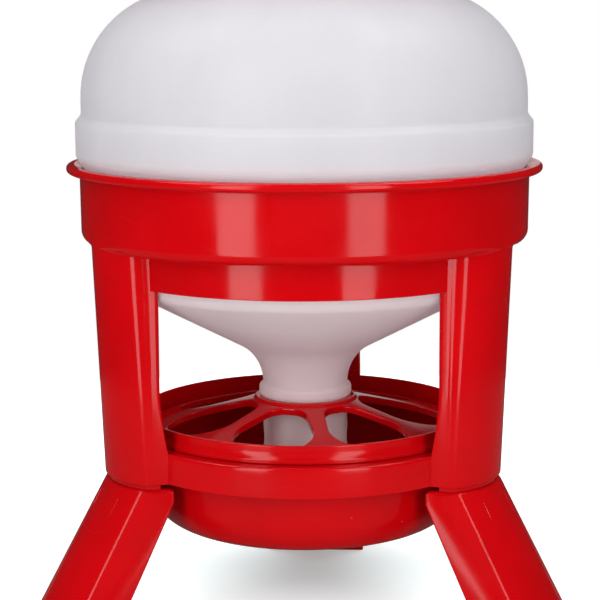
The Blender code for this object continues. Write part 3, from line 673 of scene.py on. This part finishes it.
def spigot_half(z, inset):
    """Half of the spigot's section, which follows the post's lowest one."""
    front, side, back = post_half(
        RING_BOTTOM_Z, inset=inset, back_r=SPIGOT_BACK_R + inset, corner=2 * FINE_CORNER, fine=False
    )
    return at_height(front + side[1:] + back[1:], z)


def add_panel(body, degrees):
    """A plain raised border on the outer face of a foot; the field inside it is bare."""
    low = PANEL_TOP_DROP + PANEL_HEIGHT
    outline = rounded([
        (-PANEL_HALF_W, PANEL_TOP_DROP, PANEL_CORNER_R),
        (PANEL_HALF_W, PANEL_TOP_DROP, PANEL_CORNER_R),
        (PANEL_HALF_W, low, PANEL_CORNER_R),
        (-PANEL_HALF_W, low, PANEL_CORNER_R),
    ], closed=True, step=math.radians(15))
    border = []
    for k, (x, y) in enumerate(outline):
        nx, ny = outline[(k + 1) % len(outline)]
        pieces = max(1, int(math.hypot(nx - x, ny - y) / PANEL_STEP))
        border += [Vector((x, y)).lerp(Vector((nx, ny)), j / pieces) for j in range(pieces)]
    centre = Vector((0.0, PANEL_TOP_DROP + PANEL_HEIGHT / 2))
    rows = []
    for off, rise in (
        (-PANEL_RIDGE_W, -PANEL_SINK),
        (-PANEL_RIDGE_W * 0.6, PANEL_RIDGE_H),
        (PANEL_RIDGE_W * 0.6, PANEL_RIDGE_H),
        (PANEL_RIDGE_W, -PANEL_SINK),
    ):
        lift = rise / math.hypot(1.0, FOOT_SLOPE)
        r = FOOT_FACE_R + lift
        row = []
        for k, here in enumerate(border):
            ahead = (border[(k + 1) % len(border)] - border[k - 1]).normalized()
            away = Vector((ahead.y, -ahead.x))
            if away.dot(here - centre) < 0:
                away.negate()
            p = here + away * off
            face_centre = FOOT_TOP_R + FOOT_SLOPE * p.y - FOOT_FACE_R
            turn = p.x / FOOT_FACE_R
            z = FOOT_TOP_Z - p.y + lift * FOOT_SLOPE
            row.append((face_centre + r * math.cos(turn), r * math.sin(turn), z))
        rows.append(sector_points(row, degrees, 1))
    rows.append(rows[0])
    body.grid(rows, wrap=True)


def build_foot(side, material):
    """Splayed hollow foot with its spigot."""
    part = FaceList()
    top_edge = edge_steps(FOOT_TOP_EDGE_R, TOP_EDGE_STEPS)[::-1]
    rows = [foot_half(FOOT_TOP_Z - drop, inset) for drop, inset in top_edge]
    rows += [foot_half(z) for z in spread(FOOT_HEEL_Z, SOLE_EDGE_R, FOOT_ROWS)]
    rows += [foot_half(rise, inset) for rise, inset in edge_steps(SOLE_EDGE_R, EDGE_STEPS)[1:]]
    part.grid(rows)
    inside_z = FOOT_TOP_Z - FOOT_WALL
    hollow_levels = [inside_z] + spread(FOOT_HEEL_Z - FOOT_WALL, 0.0, 6)
    hollow = [foot_half(z, FOOT_WALL) for z in hollow_levels]
    part.grid(hollow)
    part.face(rows[-1] + hollow[-1][::-1])
    outer = [spigot_half(z, SPIGOT_INSET) for z in (FOOT_TOP_Z, SPIGOT_TOP_Z - SPIGOT_EDGE)]
    outer.append(spigot_half(SPIGOT_TOP_Z, SPIGOT_INSET + SPIGOT_EDGE))
    part.grid(outer)
    part.face(rows[0] + outer[0][::-1])
    bore = [spigot_half(z, SPIGOT_INSET + FOOT_WALL) for z in (SPIGOT_TOP_Z, inside_z)]
    part.grid(bore)
    part.face(outer[-1] + bore[0][::-1])
    part.face(hollow[0] + bore[-1][::-1])
    body = Body()
    degrees = POST_ANGLES[side]
    add_sectors(body, part.faces, degrees)
    add_panel(body, degrees)
    node = "foot_" + side
    return body.piece(side + "_foot_moulding", material, node, [node])


# Feed pan
def build_pan(material):
    """Round-bottomed feed pan with a flange under its rim and a raised middle."""
    floor_z = PAN_BOTTOM_Z + PAN_WALL
    inner_rim = PAN_RIM_R - PAN_WALL
    flange_top = PAN_FLANGE_Z + PAN_FLANGE_THICK
    profile = rounded([
        (0.0, floor_z + PAN_CONE_RISE, 0.0),
        (PAN_CONE_R, floor_z, 0.030),
        (PAN_LOW_R - PAN_WALL, floor_z, PAN_CORNER_R - PAN_WALL),
        (SEAT_R, SEAT_Z, 0.0005),
        (inner_rim, SEAT_Z, 0.0005),
        (inner_rim, PAN_TOP_Z, 0.0012),
        (PAN_RIM_R, PAN_TOP_Z, 0.0013),
        (PAN_RIM_R, flange_top + FLANGE_FLARE, 0.008),
        (PAN_FLANGE_R, flange_top, 0.0014),
        (PAN_FLANGE_R, PAN_FLANGE_Z, 0.0008),
        (PAN_BOWL_R, PAN_FLANGE_Z, 0.0004),
        (PAN_LOW_R, PAN_BOTTOM_Z, PAN_CORNER_R),
        (0.0, PAN_BOTTOM_Z, 0.0),
    ])
    body = Body()
    body.turned(profile, ALL_ROUND)
    return body.piece("feed_pan_moulding", material, "feed_pan", ["feed_pan"])


# Pan grille
def grille_z(r):
    return HUB_TOP_Z - CONE_TOP_DROP - CONE_SLOPE * (r - HUB_R)


def even_points(path, pieces):
    """Points at even steps along an open path."""
    lengths = [0.0]
    for a, b in zip(path, path[1:]):
        lengths.append(lengths[-1] + (b - a).length)
    result = []
    j = 0
    for want in spread(0.0, lengths[-1], pieces):
        while j < len(path) - 2 and lengths[j + 1] < want:
            j += 1
        span = lengths[j + 1] - lengths[j]
        result.append(path[j].lerp(path[j + 1], (want - lengths[j]) / span if span else 0.0))
    return result


def opening_path():
    """Half of an opening's outline about the +X ray, from its outer middle round to its inner middle."""
    half_pitch = math.pi / SPOKES
    outer_side = half_pitch - math.asin(SPOKE_WIDTH_OUT / 2 / OPENING_OUTER_R)
    inner_side = half_pitch - math.asin(SPOKE_WIDTH_IN / 2 / OPENING_INNER_R)
    corners = []
    for radius, angle, fillet in (
        (OPENING_OUTER_R, outer_side, OPENING_CORNER_OUT_R),
        (OPENING_OUTER_R, 0.0, 0.0),
        (OPENING_OUTER_R, -outer_side, OPENING_CORNER_OUT_R),
        (OPENING_INNER_R, -inner_side, OPENING_CORNER_IN_R),
        (OPENING_INNER_R, inner_side, OPENING_CORNER_IN_R),
    ):
        corners.append((radius * math.cos(angle), radius * math.sin(angle), fillet))
    outline = [Vector(p) for p in rounded(corners, closed=True, step=math.radians(3))]
    upper = [p for p in outline if p.y > 1e-6]
    upper.sort(key=lambda p: math.atan2(p.y, p.x - OPENING_MIDDLE_R))
    ends = [p.x for p in outline if abs(p.y) <= OPENING_END_HALF_W]
    return [Vector((max(ends), 0.0))] + upper + [Vector((min(ends), 0.0))]


def opening_rows():
    """Half of one opening and the skin around it: rows of points from the top round to the underside."""
    half_pitch = math.pi / SPOKES
    path = opening_path()
    outer = path.index(max(path, key=lambda p: p.x * OUTER_CORNER_LEAN + p.y))
    inner = path.index(max(path, key=lambda p: -p.x * INNER_CORNER_LEAN + p.y))
    hole = even_points(path[:outer + 1], OPENING_OUT_STEPS)
    hole += even_points(path[outer:inner + 1], OPENING_SIDE_STEPS)[1:]
    hole += even_points(path[inner:], OPENING_IN_STEPS)[1:]
    cell = arc(ORIGIN, CELL_OUTER_R, 0.0, half_pitch, OPENING_OUT_STEPS)
    for r in spread(CELL_OUTER_R, CELL_INNER_R, OPENING_SIDE_STEPS)[1:]:
        cell.append(Vector((r * math.cos(half_pitch), r * math.sin(half_pitch))))
    cell += arc(ORIGIN, CELL_INNER_R, half_pitch, 0.0, OPENING_IN_STEPS)[1:]
    before = [Vector((hole[1].x, -hole[1].y))] + hole[:-1]
    after = hole[1:] + [Vector((hole[-2].x, -hole[-2].y))]
    normals = []
    for a, b in zip(before, after):
        d = (b - a).normalized()
        normals.append(Vector((d.y, -d.x)))

    def ring(offset, drop):
        moved = [p + n * offset for p, n in zip(hole, normals)]
        return [(p.x, p.y, grille_z(p.length) - drop) for p in moved]

    def border(drop):
        return [(p.x, p.y, grille_z(p.length) - drop) for p in cell]

    top = border(0.0)
    edge = ring(GRILLE_EDGE_R, 0.0)
    between = [tuple(x + (y - x) * 0.5 for x, y in zip(p, q)) for p, q in zip(top, edge)]
    rows = [top, between, edge]
    rows += [ring(offset, drop) for offset, drop in edge_steps(GRILLE_EDGE_R, 4)[1:]]
    for offset, drop in (
        (0.0, GRILLE_LIP - GRILLE_FINE_EDGE),
        (GRILLE_FINE_EDGE, GRILLE_LIP),
        (GRILLE_LIP_THICK - GRILLE_FINE_EDGE, GRILLE_LIP),
        (GRILLE_LIP_THICK, GRILLE_LIP - GRILLE_FINE_EDGE),
        (GRILLE_LIP_THICK, GRILLE_SKIN),
    ):
        rows.append(ring(offset, drop))
    rows.append(border(GRILLE_SKIN))
    return rows


def build_grille(material):
    """Spoked grille: a shallow cone with seven openings whose edges turn down, a hub and a rim."""
    half_pitch = math.pi / SPOKES
    rows = opening_rows()
    body = Body()
    hub_angles = []
    rim_angles = []
    for k in range(SPOKES):
        a = SPOKE_TURN - math.pi / 2 + half_pitch + 2 * math.pi * k / SPOKES
        c, s = math.cos(a), math.sin(a)
        for sign in (1, -1):
            body.grid([[(x * c - sign * y * s, x * s + sign * y * c, z) for x, y, z in row] for row in rows])
        hub_angles += [a + turn for turn in spread(-half_pitch, half_pitch, 2 * OPENING_IN_STEPS)[:-1]]
        rim_angles += [a + turn for turn in spread(-half_pitch, half_pitch, 2 * OPENING_OUT_STEPS)[:-1]]
    under_hub = grille_z(CELL_INNER_R) - GRILLE_SKIN
    hub = rounded([
        (CELL_INNER_R, grille_z(CELL_INNER_R), 0.0),
        (HUB_R - 0.0012, HUB_TOP_Z, 0.003),
        (HUB_HOLE_R, HUB_TOP_Z, 0.001),
        (HUB_HOLE_R, HUB_TOP_Z - HUB_COLLAR, 0.0006),
        (HUB_R, HUB_TOP_Z - HUB_COLLAR, 0.0006),
        (HUB_R, under_hub, 0.0005),
        (CELL_INNER_R, under_hub, 0.0),
    ], step=WIDE_ARC_STEP)
    body.turned(hub, hub_angles)
    rim_top = SEAT_Z + SEAT_GAP + GRILLE_FLANGE
    low = rim_top - GRILLE_SKIRT
    under_rim = grille_z(CELL_OUTER_R) - GRILLE_SKIN
    rim = rounded([
        (CELL_OUTER_R, grille_z(CELL_OUTER_R), 0.0),
        (GRILLE_BEND_R, grille_z(GRILLE_BEND_R), 0.003),
        (GRILLE_STEP_R, rim_top, 0.0005),
        (GRILLE_R, rim_top, 0.0006),
        (GRILLE_R, rim_top - GRILLE_FLANGE, 0.0005),
        (GRILLE_SKIRT_R, rim_top - GRILLE_FLANGE, 0.0),
        (GRILLE_SKIRT_R, low, 0.0005),
        (GRILLE_SKIRT_IN_R, low, 0.0005),
        (GRILLE_SKIRT_IN_R, under_rim - 0.001, 0.0008),
        (CELL_OUTER_R, under_rim, 0.0),
    ], step=WIDE_ARC_STEP)
    body.turned(rim, rim_angles)
    return body.piece("pan_grille_moulding", material, "pan_grille", ["pan_grille"])


# Hopper
def offset_path(path, distance):
    """An open path moved sideways by a distance, to its left."""
    result = []
    for k, p in enumerate(path):
        a = Vector(path[max(k - 1, 0)])
        b = Vector(path[min(k + 1, len(path) - 1)])
        d = (b - a).normalized()
        result.append((p[0] - d.y * distance, p[1] + d.x * distance))
    return result


def hopper_outside():
    """The hopper's outer profile, from the mouth down to the outlet."""
    corner_z = DOME_ARC_Z + DOME_SHOULDER_R * math.tan((math.pi / 2 - DOME_SLOPE) / 2)
    mouth_z = corner_z + (DOME_R - MOUTH_R) * math.tan(DOME_SLOPE)
    return rounded([
        (MOUTH_R, MOUTH_TOP_Z, 0.0),
        (MOUTH_R, mouth_z, 0.003),
        (DOME_R, corner_z, DOME_SHOULDER_R),
        (DOME_R, BELT_TOP_Z, 0.006),
        (BELT_R, BELT_FULL_Z, 0.004),
        (BELT_R, BELT_LOW_Z, 0.010),
        (HOPPER_R, HOPPER_WALL_Z, 0.005),
        (HOPPER_R, HOPPER_LEDGE_Z, 0.010),
        (HOPPER_LOWER_R, HOPPER_LEDGE_Z, 0.003),
        (HOPPER_LOWER_R, CONE_TOP_Z, 0.010),
        (NECK_R, CONE_END_Z, 0.041),
        (NECK_R, BEAD_TOP_Z, 0.0),
        (BEAD_R, BEAD_TOP_Z - 0.002, 0.0036),
        (BEAD_R, BEAD_BOTTOM_Z, 0.0036),
        (TUBE_R, BEAD_BOTTOM_Z, 0.0005),
        (TUBE_R, OUTLET_Z, 0.0),
    ], step=math.radians(5))


def add_flash(body, angle):
    """Thin flash left by the mould's parting plane on the outlet tube."""
    c, s = math.cos(angle), math.sin(angle)
    rows = []
    for z in spread(BEAD_BOTTOM_Z - 0.0006, OUTLET_Z + 0.001, FLASH_STEPS):
        out = FLASH_OUT + FLASH_UNEVEN * math.sin(z * FLASH_WAVES)
        section = [
            (TUBE_R - FLASH_ROOT, -FLASH_HALF_THICK),
            (TUBE_R + out, -FLASH_HALF_THICK * 0.4),
            (TUBE_R + out, FLASH_HALF_THICK * 0.4),
            (TUBE_R - FLASH_ROOT, FLASH_HALF_THICK),
        ]
        rows.append([(r * c - t * s, r * s + t * c, z) for r, t in section])
    body.grid(rows, wrap=True)
    body.face(rows[0])
    body.face(rows[-1])


def build_hopper(material):
    """Blow-moulded hopper: mouth, dome, belt, seat ledge, cone, neck bead and outlet tube."""
    outside = hopper_outside()
    inside = offset_path(outside, -HOPPER_WALL)
    inside[0] = (MOUTH_R - HOPPER_WALL, MOUTH_TOP_Z)
    inside[-1] = (TUBE_R - HOPPER_WALL, OUTLET_Z)
    body = Body()
    body.turned(outside + inside[::-1], ALL_ROUND, closed=True)
    for angle in FLASH_ANGLES:
        add_flash(body, math.radians(angle))
    nodes = ["hopper_mouth", "hopper_dome", "hopper_cone", "hopper_tube"]
    return body.piece("feed_hopper_moulding", material, "hopper", nodes)


# Filler lid
def build_lid(material):
    """Ribbed filler lid, hidden above the photograph's upper edge."""
    pieces = LID_RIBS * 10
    angles = [2 * math.pi * k / pieces for k in range(pieces)]
    profile = rounded([
        (0.0, LID_BOSS_Z, 0.0),
        (LID_BOSS_R, LID_BOSS_Z, 0.003),
        (LID_BOSS_R + 0.004, LID_TOP_Z, 0.003),
        (LID_R, LID_TOP_Z, LID_WALL),
        (LID_R, LID_TOP_Z - 0.007, 0.0),
        (LID_R, LID_TOP_Z - 0.010, 0.0),
        (LID_R, LID_SKIRT_Z + 0.006, 0.0),
        (LID_R, LID_SKIRT_Z + 0.004, 0.0),
        (LID_R, LID_SKIRT_Z, 0.0008),
        (LID_R - LID_WALL, LID_SKIRT_Z, 0.0008),
        (LID_R - LID_WALL, LID_TOP_Z - LID_WALL, 0.001),
        (LID_BOSS_R, LID_TOP_Z - LID_WALL, 0.002),
        (LID_BOSS_R - 0.003, LID_BOSS_Z - LID_WALL, 0.002),
        (0.0, LID_BOSS_Z - LID_WALL, 0.0),
    ])

    def ribbed(r, z, a):
        if r < LID_R - WELD or not LID_RIB_LOW_Z < z < LID_RIB_HIGH_Z:
            return r
        return r + LID_RIB_HEIGHT * max(0.0, math.cos(a * LID_RIBS)) ** LID_RIB_SHARPNESS

    body = Body()
    body.turned(profile, angles, radius=ribbed)
    return body.piece("filler_lid_moulding", material, "filler_lid", ["filler_lid"])


# Materials
RED = (0.51, 0.0010, 0.0030)
RED_DEEP = tuple(c * 0.93 for c in RED)
RED_LIGHT = (RED[0] * 1.05, RED[1] * 1.1, RED[2] * 1.1)
RED_WORN = (RED[0] * 1.12, RED[1] * 2.6 + 0.012, RED[2] * 2.4 + 0.012)
DUST = (0.75, 0.55, 0.52)
RED_ROUGH = (0.09, 0.17)
ORANGE_PEEL = 0.00002
RED_WAVES = 0.0002
SCRATCH_DEPTH = 0.00001
SPECK_HEIGHT = 0.00006
MILKY = (0.855, 0.855, 0.877)
MILKY_THIN = tuple(c * 0.965 for c in MILKY)
MILKY_CLOUD = tuple(c * 1.02 for c in MILKY)
MILKY_SCRATCH = (0.9, 0.9, 0.9)
MILKY_ROUGH = (0.33, 0.43)
MILKY_GRAIN = 0.00003
MILKY_WAVES = 0.0006
TRANSLUCENT_SHARE = 0.64
# Painted red glow: pink below the lip, standing in for light from the red tub, posts and pan.
PAINTED_RED_GLOW = (0.96, 0.865, 0.872)
PAINTED_GLOW_FADE = 0.02


def new_material(name):
    """A new node material, with its nodes and its shader."""
    material = bpy.data.materials.new(name)
    material.use_nodes = True
    return material, material.node_tree, material.node_tree.nodes["Principled BSDF"]


def set_inputs(made, values):
    for name, value in values.items():
        made.inputs[name].default_value = value


def math_node(tree, operation, a, b=None, clamp=False):
    made = tree.nodes.new("ShaderNodeMath")
    made.operation = operation
    made.use_clamp = clamp
    for socket, value in zip(made.inputs, (a, b)):
        if isinstance(value, (int, float)):
            socket.default_value = value
        elif value is not None:
            tree.links.new(value, socket)
    return made.outputs[0]


def times(tree, a, b, clamp=False):
    return math_node(tree, "MULTIPLY", a, b, clamp)


def plus(tree, a, b, clamp=False):
    return math_node(tree, "ADD", a, b, clamp)


def noise(tree, vector, scale, detail=2.0, rough=0.5, distortion=0.0):
    made = tree.nodes.new("ShaderNodeTexNoise")
    set_inputs(made, {"Scale": scale, "Detail": detail, "Roughness": rough, "Distortion": distortion})
    tree.links.new(vector, made.inputs["Vector"])
    return made.outputs["Fac"]


def remap(tree, value, low, high, to_low=0.0, to_high=1.0):
    made = tree.nodes.new("ShaderNodeMapRange")
    set_inputs(made, {"From Min": low, "From Max": high, "To Min": to_low, "To Max": to_high})
    tree.links.new(value, made.inputs["Value"])
    return made.outputs["Result"]


def mix_colour(tree, factor, a, b):
    made = tree.nodes.new("ShaderNodeMix")
    made.data_type = "RGBA"
    tree.links.new(factor, made.inputs[0])
    for socket, value in ((made.inputs[6], a), (made.inputs[7], b)):
        if isinstance(value, tuple):
            socket.default_value = (*value, 1.0)
        else:
            tree.links.new(value, socket)
    return made.outputs[2]


def mapped(tree, place, setting, value):
    """Coordinates that are moved or scaled."""
    made = tree.nodes.new("ShaderNodeMapping")
    made.inputs[setting].default_value = value
    tree.links.new(place, made.inputs["Vector"])
    return made.outputs[0]


def object_place(tree):
    return tree.nodes.new("ShaderNodeTexCoord").outputs["Object"]


def add_bump(tree, height, strength):
    """Bump on the shader from a height in metres."""
    bump = tree.nodes.new("ShaderNodeBump")
    set_inputs(bump, {"Strength": strength, "Distance": 1.0})
    tree.links.new(height, bump.inputs["Height"])
    tree.links.new(bump.outputs[0], tree.nodes["Principled BSDF"].inputs["Normal"])


def scratches(tree, place, scale, width, seed):
    """Short curved hairlines: thin level lines of a smooth noise, kept only in patches."""
    shifted = mapped(tree, place, "Location", (seed, seed * 0.37, -seed))
    field = noise(tree, shifted, scale, 0.0, 0.5, 0.6)
    away = math_node(tree, "ABSOLUTE", math_node(tree, "SUBTRACT", field, 0.5))
    line = remap(tree, away, 0.0, width, 1.0, 0.0)
    keep = remap(tree, noise(tree, shifted, scale * 2.3, 1.0), 0.56, 0.62)
    return times(tree, line, keep, clamp=True)


def red_plastic(name, seed):
    """Glossy injection-moulded polypropylene with orange peel, hairlines, specks and worn edges."""
    material, tree, shader = new_material(name)
    place = object_place(tree)
    mottle = remap(tree, noise(tree, place, 14.0 + seed, 3.0), 0.3, 0.7)
    base = mix_colour(tree, mottle, RED_DEEP, RED_LIGHT)
    lines = scratches(tree, place, 9.0, 0.0016, seed * 3.1 + 0.4)
    fine_lines = scratches(tree, place, 23.0, 0.003, seed * 5.3 + 1.7)
    marks = math_node(tree, "MAXIMUM", lines, times(tree, fine_lines, 0.6))
    edge = tree.nodes.new("ShaderNodeNewGeometry").outputs["Pointiness"]
    worn = remap(tree, edge, 0.52, 0.60, 0.0, 0.25)
    worn = times(tree, worn, remap(tree, noise(tree, place, 60.0, 3.0), 0.4, 0.65, 0.2, 1.0))
    base = mix_colour(tree, times(tree, marks, 0.35, clamp=True), base, RED_WORN)
    base = mix_colour(tree, times(tree, worn, 0.5, clamp=True), base, RED_WORN)
    specks = tree.nodes.new("ShaderNodeTexVoronoi")
    specks.inputs["Scale"].default_value = 55.0
    tree.links.new(place, specks.inputs["Vector"])
    dot = remap(tree, specks.outputs["Distance"], 0.03, 0.05, 1.0, 0.0)
    dot = times(tree, dot, remap(tree, noise(tree, place, 11.0 + seed, 1.0), 0.60, 0.64), clamp=True)
    base = mix_colour(tree, times(tree, dot, 0.35, clamp=True), base, DUST)
    tree.links.new(base, shader.inputs["Base Color"])
    gloss = remap(tree, noise(tree, place, 21.0 + seed, 4.0, 0.6), 0.3, 0.7, *RED_ROUGH)
    gloss = plus(tree, gloss, times(tree, marks, 0.25))
    gloss = plus(tree, gloss, times(tree, worn, 0.3), clamp=True)
    tree.links.new(gloss, shader.inputs["Roughness"])
    set_inputs(shader, {"IOR": 1.46, "Specular IOR Level": 0.28})
    height = plus(
        tree,
        times(tree, noise(tree, place, 190.0, 2.0), ORANGE_PEEL),
        times(tree, noise(tree, place, 17.0, 1.0), RED_WAVES),
    )
    height = math_node(tree, "SUBTRACT", height, times(tree, marks, SCRATCH_DEPTH))
    height = plus(tree, height, times(tree, dot, SPECK_HEIGHT))
    add_bump(tree, height, 0.8)
    return material


def milky_plastic(name):
    """Translucent blow-moulded polyethylene: satin, a little uneven, with light inside the wall, and painted
    pink below the lip for the red light that the parts round it throw on it.
    """
    material, tree, shader = new_material(name)
    place = object_place(tree)
    stretched = mapped(tree, place, "Scale", (1.0, 1.0, 0.16))
    streak = remap(tree, noise(tree, stretched, 28.0, 3.0), 0.3, 0.7)
    cloud = remap(tree, noise(tree, place, 7.0, 3.0), 0.3, 0.7)
    base = mix_colour(tree, streak, MILKY_THIN, MILKY)
    # Painted red glow: the colour turns pink below the lip, where the red tub and pan light the hopper.
    split = tree.nodes.new("ShaderNodeSeparateXYZ")
    tree.links.new(place, split.inputs[0])
    low = remap(tree, split.outputs["Z"], LIP_Z - PAINTED_GLOW_FADE, LIP_Z + PAINTED_GLOW_FADE, 1.0, 0.0)
    base = mix_colour(tree, low, base, PAINTED_RED_GLOW)
    base = mix_colour(tree, times(tree, cloud, 0.4), base, MILKY_CLOUD)
    lines = scratches(tree, place, 13.0, 0.0022, 2.9)
    base = mix_colour(tree, times(tree, lines, 0.3), base, MILKY_SCRATCH)
    tree.links.new(base, shader.inputs["Base Color"])
    gloss = remap(tree, noise(tree, place, 40.0, 4.0, 0.6), 0.3, 0.7, *MILKY_ROUGH)
    gloss = plus(tree, gloss, times(tree, lines, 0.2), clamp=True)
    tree.links.new(gloss, shader.inputs["Roughness"])
    set_inputs(shader, {
        "IOR": 1.5,
        "Subsurface Weight": 0.5,
        "Subsurface Radius": (1.0, 0.9, 0.9),
        "Subsurface Scale": 0.008,
    })
    height = plus(
        tree,
        times(tree, noise(tree, place, 260.0, 2.0), MILKY_GRAIN),
        times(tree, noise(tree, place, 12.0, 2.0), MILKY_WAVES),
    )
    add_bump(tree, height, 0.7)
    glow = tree.nodes.new("ShaderNodeBsdfTranslucent")
    tree.links.new(base, glow.inputs["Color"])
    mixed = tree.nodes.new("ShaderNodeMixShader")
    mixed.inputs[0].default_value = TRANSLUCENT_SHARE
    tree.links.new(shader.outputs[0], mixed.inputs[1])
    tree.links.new(glow.outputs[0], mixed.inputs[2])
    tree.links.new(mixed.outputs[0], tree.nodes["Material Output"].inputs["Surface"])
    return material


frame_material = red_plastic("red_polypropylene_frame", 1.0)
foot_material = red_plastic("red_polypropylene_feet", 2.0)
pan_material = red_plastic("red_polypropylene_pan", 3.0)
grille_material = red_plastic("red_polypropylene_grille", 4.0)
lid_material = red_plastic("red_polypropylene_lid", 5.0)
milky_material = milky_plastic("milky_polyethylene")

build_frame(frame_material)
for foot_side in POST_ANGLES:
    build_foot(foot_side, foot_material)
build_pan(pan_material)
build_grille(grille_material)
build_hopper(milky_material)
build_lid(lid_material)

# Studio
FLOOR_RINGS = (0.0, 0.2, 0.4, 0.6, 0.8, 1.1)
FLOOR_LOW = 0.0002
# The floor's base and its painted glow lean to cyan near the tower, painted against the red bounce in the
# shadow.
FLOOR_PALE = ((0.76, 0.82, 0.82), (0.78, 0.84, 0.84))
FLOOR_IN_GLOSS = (0.16, 0.16, 0.16)
FLOOR_GLOW = ((0.84, 1.0, 1.0), (1.0, 1.0, 1.0))
FLOOR_FILL = 0.25
FLOOR_NEAR = 0.02
FLOOR_FAR = 0.24
SHADOW_Y = 0.14
BACKDROP_W = 1.3
BACKDROP_H = 1.6
BACKDROP_Y = 3.0
BACKDROP_GLOW = 0.6
AMBIENT = 0.03
ROOM_LIGHT = 0.31
CAMERA_TURN = math.radians(2.6)
CAMERA_PITCH = math.radians(90 - 9.39)
CAMERA_ROLL = math.radians(-0.22)
CAMERA_DISTANCE = 1.5972
CAMERA_RISE = 0.1426
CAMERA_LENS = 108.0
SENSOR_WIDTH = 36.0
CAMERA_SHIFT = -5.0 / 600.0
SOFTBOXES = (
    # name, azimuth, distance, height, height aimed at, width, tall, power
    ("left_softbox", -32.2, 1.9, 0.95, 0.95, 0.60, 2.7, 26.0),
    ("right_softbox", 29.0, 1.9, 0.95, 0.95, 0.58, 2.7, 23.4),
    ("front_fill", 0.0, 2.3, 1.1, 1.1, 1.2, 2.0, 1.0),
    ("top_left_softbox", -80.0, 0.9, 2.1, 0.5, 0.8, 1.1, 12.0),
    ("top_right_softbox", 80.0, 0.9, 2.1, 0.5, 0.8, 1.1, 12.5),
)


def build_floor():
    """Pale floor with a painted glow seen only by the camera: weak round a point behind the tower, so the
    shadow shows there, and white further out.
    """
    body = Body()
    body.turned([(r, 0.0) for r in FLOOR_RINGS], [2 * math.pi * k / 96 for k in range(96)])
    floor = body.made("studio_floor")
    floor.location.z = -FLOOR_LOW
    material, tree, shader = new_material("studio_floor")
    place = object_place(tree)
    rays = tree.nodes.new("ShaderNodeLightPath")
    pale = mix_colour(tree, remap(tree, noise(tree, place, 300.0, 3.0), 0.3, 0.7), *FLOOR_PALE)
    # Painted dark reflection: glossy rays see the floor as dark grey.
    base = mix_colour(tree, rays.outputs["Is Glossy Ray"], pale, FLOOR_IN_GLOSS)
    tree.links.new(base, shader.inputs["Base Color"])
    set_inputs(shader, {"Roughness": 0.9, "Specular IOR Level": 0.1})
    distance = tree.nodes.new("ShaderNodeVectorMath")
    distance.operation = "LENGTH"
    tree.links.new(mapped(tree, place, "Location", (0.0, -SHADOW_Y, 0.0)), distance.inputs[0])
    # Painted glow: weak round SHADOW_Y, full white beyond FLOOR_FAR.
    away = remap(tree, distance.outputs["Value"], FLOOR_NEAR, FLOOR_FAR)
    fill = remap(tree, away, 0.0, 1.0, FLOOR_FILL, 1.0)
    tree.links.new(mix_colour(tree, away, *FLOOR_GLOW), shader.inputs["Emission Color"])
    tree.links.new(times(tree, rays.outputs["Is Camera Ray"], fill), shader.inputs["Emission Strength"])
    floor.data.materials.append(material)


def build_backdrop():
    """White card behind the tower: it is what glossy faces turned away from the camera reflect."""
    body = Body()
    columns = spread(-BACKDROP_W / 2, BACKDROP_W / 2, 8)
    body.grid([[(x, BACKDROP_Y, z) for x in columns] for z in spread(0.0, BACKDROP_H, 8)])
    card = body.made("studio_backdrop")
    material, tree, shader = new_material("studio_backdrop")
    set_inputs(shader, {
        "Base Color": (0.0, 0.0, 0.0, 1.0),
        "Specular IOR Level": 0.0,
        "Emission Color": (1.0, 1.0, 1.0, 1.0),
    })
    seen = tree.nodes.new("ShaderNodeLightPath").outputs["Is Camera Ray"]
    tree.links.new(remap(tree, seen, 0.0, 1.0, BACKDROP_GLOW, 1.0), shader.inputs["Emission Strength"])
    card.data.materials.append(material)


def build_world():
    """White to the camera, a dim room to the light."""
    world = bpy.data.worlds.new("studio")
    bpy.context.scene.world = world
    world.use_nodes = True
    tree = world.node_tree
    background = tree.nodes["Background"]
    background.inputs["Color"].default_value = (1.0, 1.0, 1.0, 1.0)
    rays = tree.nodes.new("ShaderNodeLightPath")
    seen = math_node(tree, "MAXIMUM", rays.outputs["Is Camera Ray"], rays.outputs["Is Transmission Ray"])
    room = remap(tree, rays.outputs["Is Diffuse Ray"], 0.0, 1.0, AMBIENT, ROOM_LIGHT)
    tree.links.new(math_node(tree, "MAXIMUM", seen, room), background.inputs["Strength"])


def build_camera():
    """Camera at the photograph's viewing angle."""
    data = bpy.data.cameras.new("camera")
    data.sensor_width = SENSOR_WIDTH
    data.lens = CAMERA_LENS
    data.shift_x = CAMERA_SHIFT
    camera = bpy.data.objects.new("camera", data)
    camera.location = (
        CAMERA_DISTANCE * math.sin(CAMERA_TURN),
        AXIS_Y - CAMERA_DISTANCE * math.cos(CAMERA_TURN),
        LIP_Z + CAMERA_RISE,
    )
    pitch = Matrix.Rotation(CAMERA_PITCH, 3, "X")
    roll = Matrix.Rotation(CAMERA_ROLL, 3, "Z")
    camera.rotation_euler = (Matrix.Rotation(CAMERA_TURN, 3, "Z") @ pitch @ roll).to_euler()
    bpy.context.scene.collection.objects.link(camera)
    bpy.context.scene.camera = camera


def softbox(name, azimuth, distance, height, aim_z, width, tall, power):
    """Rectangular lamp at an angle from the camera's side, aimed at the tower."""
    data = bpy.data.lights.new(name, "AREA")
    data.shape = "RECTANGLE"
    data.size = width
    data.size_y = tall
    data.energy = power
    lamp = bpy.data.objects.new(name, data)
    a = math.radians(azimuth) + CAMERA_TURN
    lamp.location = (distance * math.sin(a), AXIS_Y - distance * math.cos(a), height)
    aim = Vector((0.0, AXIS_Y, aim_z)) - lamp.location
    lamp.rotation_euler = aim.to_track_quat("-Z", "Y").to_euler()
    bpy.context.scene.collection.objects.link(lamp)


build_floor()
build_backdrop()
build_world()
build_camera()
for lamp_values in SOFTBOXES:
    softbox(*lamp_values)

bpy.context.scene.view_settings.view_transform = "Standard"
